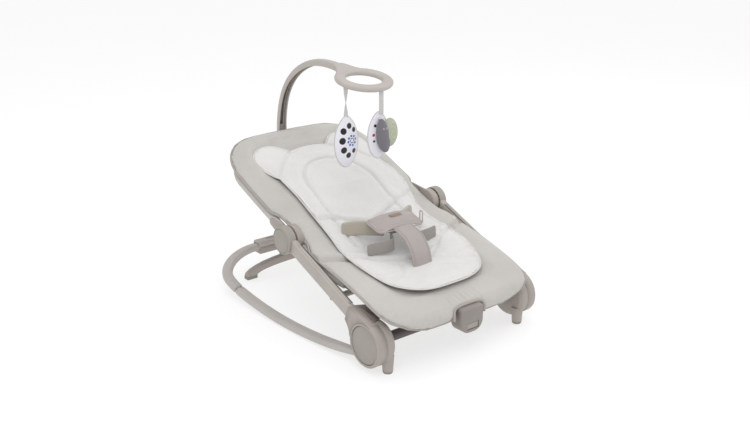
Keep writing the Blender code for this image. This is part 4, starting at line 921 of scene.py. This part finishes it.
PLAIN_STEEL = ("foot_pin", "fold_bolt_left", "fold_bolt_right", "fold_spring_left", "fold_spring_right",
               "hub_spring_left", "hub_spring_right", "bar_pin", "unit_motor", "unit_weight")


def hard_parts():
    for names, material, edge, levels in HARD_PARTS:
        for name in names.split():
            refined(name, material, edge, levels)
    for name in PLAIN_STEEL:
        NODES[name].data.materials.clear()
        NODES[name].data.materials.append(zinc_steel)
    NODES["unit_battery"].data.materials.clear()
    NODES["unit_battery"].data.materials.append(cell_wrap)


def toy_bar_parts():
    refined("bar_arm", pale_taupe, 0.0006, 1, angle=40)
    ring_low, ring_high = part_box("toy_ring")
    centre = (ring_low + ring_high) / 2
    outer = (ring_high.x - ring_low.x) / 2
    middle, wide = (outer + RING_HOLE) / 2, (outer - RING_HOLE) / 2
    bm = bmesh.new()
    turn = 20
    verts = []
    for i in range(turn):
        a = 2 * math.pi * i / turn
        ca, sa = math.cos(a), math.sin(a)
        verts.append(bm.verts.new((middle + wide * math.copysign(abs(ca) ** 0.8, ca), 0,
                                   RING_THICK / 2 * math.copysign(abs(sa) ** 0.8, sa))))
    edges = [bm.edges.new((verts[i - 1], verts[i])) for i in range(turn)]
    bmesh.ops.spin(bm, geom=verts + edges, cent=(0, 0, 0), axis=(0, 0, 1), angle=2 * math.pi, steps=72,
                   use_merge=True)
    outward(bm)
    tilt = Matrix.Translation(centre) @ Matrix.Rotation(RING_TILT, 4, 'X')
    bmesh.ops.transform(bm, matrix=tilt, verts=bm.verts)
    ring = piece("toy_ring_look", bm, pale_taupe, "toy_bar")
    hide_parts("toy_ring")
    # the broad blend from the arm into the ring
    reaches = ((0.80, 0), (1.02, 0.0005), (1.28, 0.0016), (1.50, 0.0008))
    path = [tilt @ Vector((0, outer * reach, rise)) for reach, rise in reaches]
    halves = [0.0370, 0.0345, 0.0310, 0.0272, 0.0238, 0.0208, 0.0180, 0.0156, 0.0134, 0.0118]
    neck = strap_sweep("ring_neck", spline(path, 3), halves, 0.0125, pale_taupe, "toy_bar", levels=2)
    # painted shade: a dark strip on the floor of the arm's open channel, where shade falls
    line = spline(moved_y([(0, 0.6065, 0.355), (0, 0.5980, 0.405), (0, 0.5800, 0.448), (0, 0.5480, 0.487),
                           (0, 0.5020, 0.517), (0, 0.4480, 0.534), (0, 0.3980, 0.537),
                           (0, 0.3700, 0.5348)]), 4)
    floor = [point + along.cross(Vector((1, 0, 0))) * 0.0022 for point, along in zip(line, headings(line))]
    shade = strap_sweep("arm_channel_painted_shade", floor, 0.0068, 0.0012, shadow_plastic, "toy_bar", (0, 0.6, 0.8),
                        levels=0)


def almond_taper(z):
    """How much an almond narrows at a height from -1 to 1: most at the top."""
    return 1 - 0.10 * abs(z) ** 3 - (0.18 * max(0, z) ** 2.0)


def almond(name, low, high, material, body, widen=1.0):
    """A stuffed almond toy in a box, with a sewn rim."""
    centre = (low + high) / 2
    size = high - low
    size.x *= widen
    bm = bmesh.new()
    bmesh.ops.create_uvsphere(bm, u_segments=32, v_segments=24, radius=1.0)
    for v in bm.verts:
        x, y, z = v.co
        v.co = (centre.x + x * size.x / 2 * almond_taper(z),
                centre.y + math.copysign(abs(y) ** 1.25, y) * size.y / 2, centre.z + z * size.z / 2)
    outward(bm)
    obj = piece(name, bm, material, body)
    rim = []
    for i in range(64):
        a = 2 * math.pi * i / 64
        x, z = math.cos(a), math.sin(a)
        across = x * size.x / 2 * almond_taper(z) * 1.01
        rim.append(Vector((centre.x + across, centre.y, centre.z + z * size.z / 2 * 1.005)))
    bead = tube(name + "_seam", rim, 0.0011, strap_white, body, closed=True, resolution=2)
    return obj, bead


def toys():
    low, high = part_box("toy_leaf_left")
    c = (low + high) / 2
    black, blue, navy = srgb(24, 24, 30), srgb(58, 104, 190), srgb(28, 40, 84)
    spots = [(c.x - 0.0125, c.z + 0.0260, 0.0072, black), (c.x - 0.0160, c.z + 0.0050, 0.0076, black),
             (c.x - 0.0125, c.z - 0.0160, 0.0072, black), (c.x - 0.0000, c.z - 0.0290, 0.0064, black),
             (c.x + 0.0030, c.z + 0.0360, 0.0064, black), (c.x + 0.0155, c.z + 0.0260, 0.0055, black),
             (c.x + 0.0150, c.z - 0.0210, 0.0055, black)]
    for i in range(8):
        a = 2 * math.pi * i / 8 + 0.2
        spots.append((c.x + 0.0085 + 0.0105 * math.cos(a), c.z + 0.0030 + 0.0105 * math.sin(a), 0.0028, blue))
    for i in range(6):
        a = 2 * math.pi * i / 6
        spots.append((c.x + 0.0085 + 0.0050 * math.cos(a), c.z + 0.0030 + 0.0050 * math.sin(a), 0.0017, navy))
    print_cloth = spotted_material("spotted_plush", srgb(228, 228, 234), spots)
    leaf, bead = almond("leaf_toy", low, high, print_cloth, "left_toy", 1.10)
    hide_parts("toy_leaf_left")

    low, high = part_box("toy_snail")
    back_low = Vector((low.x - 0.0050, high.y - 0.0150, high.z - 0.1030))
    back_high = Vector((low.x + 0.0530, high.y + 0.0010, high.z))
    cx = (back_low.x + back_high.x) / 2
    cz = high.z - 0.0520
    red = srgb(190, 50, 60)
    rim_spots = [(cx - 0.0125, cz + 0.0240, 0.0034, black), (cx - 0.0170, cz + 0.0040, 0.0034, red),
                 (cx - 0.0160, cz - 0.0100, 0.0028, black), (cx - 0.0020, cz + 0.0350, 0.0020, black)]
    rim_cloth = spotted_material("edge_spotted_plush", srgb(226, 226, 233), rim_spots)
    back, bead = almond("snail_back_leaf", back_low, back_high, rim_cloth, "front_toy")
    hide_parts("toy_snail")
    grey = cloth_material("snail_grey_plush", srgb(122, 120, 127), pitch=0.0009)
    body_bm = bmesh.new()
    bmesh.ops.create_uvsphere(body_bm, u_segments=28, v_segments=20, radius=1.0)
    for v in body_bm.verts:
        x, y, z = v.co
        lean = 0.0045 * (1 - z) + (0.0035 * z * z if z < 0 else 0)
        v.co = (cx - 0.0020 + x * 0.0165 * (1 - 0.12 * z) + lean, low.y + 0.0125 + y * 0.0110,
                cz + 0.0010 + z * 0.0385)
    snail = piece("snail_body", outward(body_bm), grey, "front_toy")
    green = cloth_material("snail_shell_plush", srgb(186, 190, 172), pitch=0.0009)
    shell_bm = bmesh.new()
    bmesh.ops.create_uvsphere(shell_bm, u_segments=28, v_segments=20, radius=1.0)
    sx, sy, sz = cx + 0.0240, low.y + 0.0155, cz + 0.0050
    for v in shell_bm.verts:
        x, y, z = v.co
        v.co = (sx + x * 0.0200, sy + y * 0.0135, sz + z * 0.0320)
    shell = piece("snail_shell", outward(shell_bm), green, "front_toy")
    light_green = cloth_material("shell_spiral_thread", srgb(206, 212, 184), pitch=0.0006)
    spiral = []
    for i in range(60):
        t = i / 59
        a = 2 * math.pi * 2.3 * t
        r = 0.0025 + 0.0130 * t
        dx, dz = r * math.cos(a), r * math.sin(a) * 1.5
        inside = max(0.0, 1 - (dx / 0.0200) ** 2 - (dz / 0.0320) ** 2)
        spiral.append(Vector((sx + dx, sy - 0.0135 * math.sqrt(inside) - 0.0002, sz + dz)))
    coil = tube("shell_spiral", spiral, 0.0009, light_green, "front_toy", resolution=2)
    for i, dx in enumerate((-0.0035, 0.0045)):
        eye = [Vector((cx + 0.0005 + dx + 0.0018 * math.cos(2 * math.pi * k / 16), low.y + 0.0026,
                       cz + 0.0190 + 0.0018 * math.sin(2 * math.pi * k / 16))) for k in range(16)]
        ring = tube(f"stitched_ring_{i}", eye, 0.0005, strap_white, "front_toy", closed=True, resolution=2)
    for word, body, turn in (("left", "left_toy", 1.0), ("front", "front_toy", 0.0)):
        low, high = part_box("toy_strap_" + word)
        c = (low + high) / 2
        count = 17
        path, sides = [], []
        for i in range(count):
            t = i / (count - 1)
            path.append(Vector((c.x, c.y, high.z + 0.004 - (high.z + 0.010 - low.z) * t)))
            a = math.pi * turn * t - 0.68
            sides.append(Vector((math.cos(a), math.sin(a), 0)))
        band = strap_sweep("hanging_band_" + word, path, 0.0050, 0.0014, strap_white, body, roll=sides)
        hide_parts("toy_strap_" + word)


def studio():
    floor_bm = bmesh.new()
    bmesh.ops.create_grid(floor_bm, x_segments=1, y_segments=1, size=6.0)
    mat, tree, shader = new_material("pale_floor")
    set_inputs(shader, {"Base Color": (0.35, 0.35, 0.35, 1), "Emission Color": (1, 1, 1, 1),
                        "Emission Strength": 0.66, "Roughness": 0.8, "Specular IOR Level": 0.1})
    floor = piece("studio_floor", floor_bm, mat, smooth=False)
    floor.location.z = -0.0002
    world = bpy.data.worlds.new("soft_room")
    bpy.context.scene.world = world
    world.use_nodes = True
    world.node_tree.nodes["Background"].inputs["Color"].default_value = (1, 1, 1, 1)
    world.node_tree.nodes["Background"].inputs["Strength"].default_value = 0.77
    panels = (("key_panel", (-1.2, -1.4, 2.4), 2.2, 21), ("side_panel", (2.0, -0.6, 1.6), 2.0, 9.5),
              ("top_panel", (0.2, 0.6, 2.8), 2.6, 14))
    for name, place, size, power in panels:
        light = bpy.data.lights.new(name, 'AREA')
        light.shape = 'DISK'
        light.size = size
        light.energy = power
        holder = bpy.data.objects.new(name, light)
        bpy.context.scene.collection.objects.link(holder)
        holder.location = place
        holder.rotation_euler = (Vector((0, 0, 0.2)) - Vector(place)).to_track_quat('-Z', 'Y').to_euler()
    camera = bpy.data.cameras.new("camera")
    camera.sensor_width = 36
    camera.lens = 51.65
    camera.clip_end = 50
    holder = bpy.data.objects.new("camera", camera)
    bpy.context.scene.collection.objects.link(holder)
    holder.location = (-1.4264, -1.7890, 1.0316)
    aim = Vector((-0.0715, -0.1161, 0.25)) - holder.location
    holder.rotation_euler = aim.to_track_quat('-Z', 'Y').to_euler()
    bpy.context.scene.camera = holder
    bpy.context.scene.view_settings.view_transform = 'Standard'


studio()
hard_parts()
sewn_cover()
quilted_liner()
unit_surround()
crotch_strap()
buckle_flap()
waist_belts()
strut_details()
toy_bar_parts()
toys()
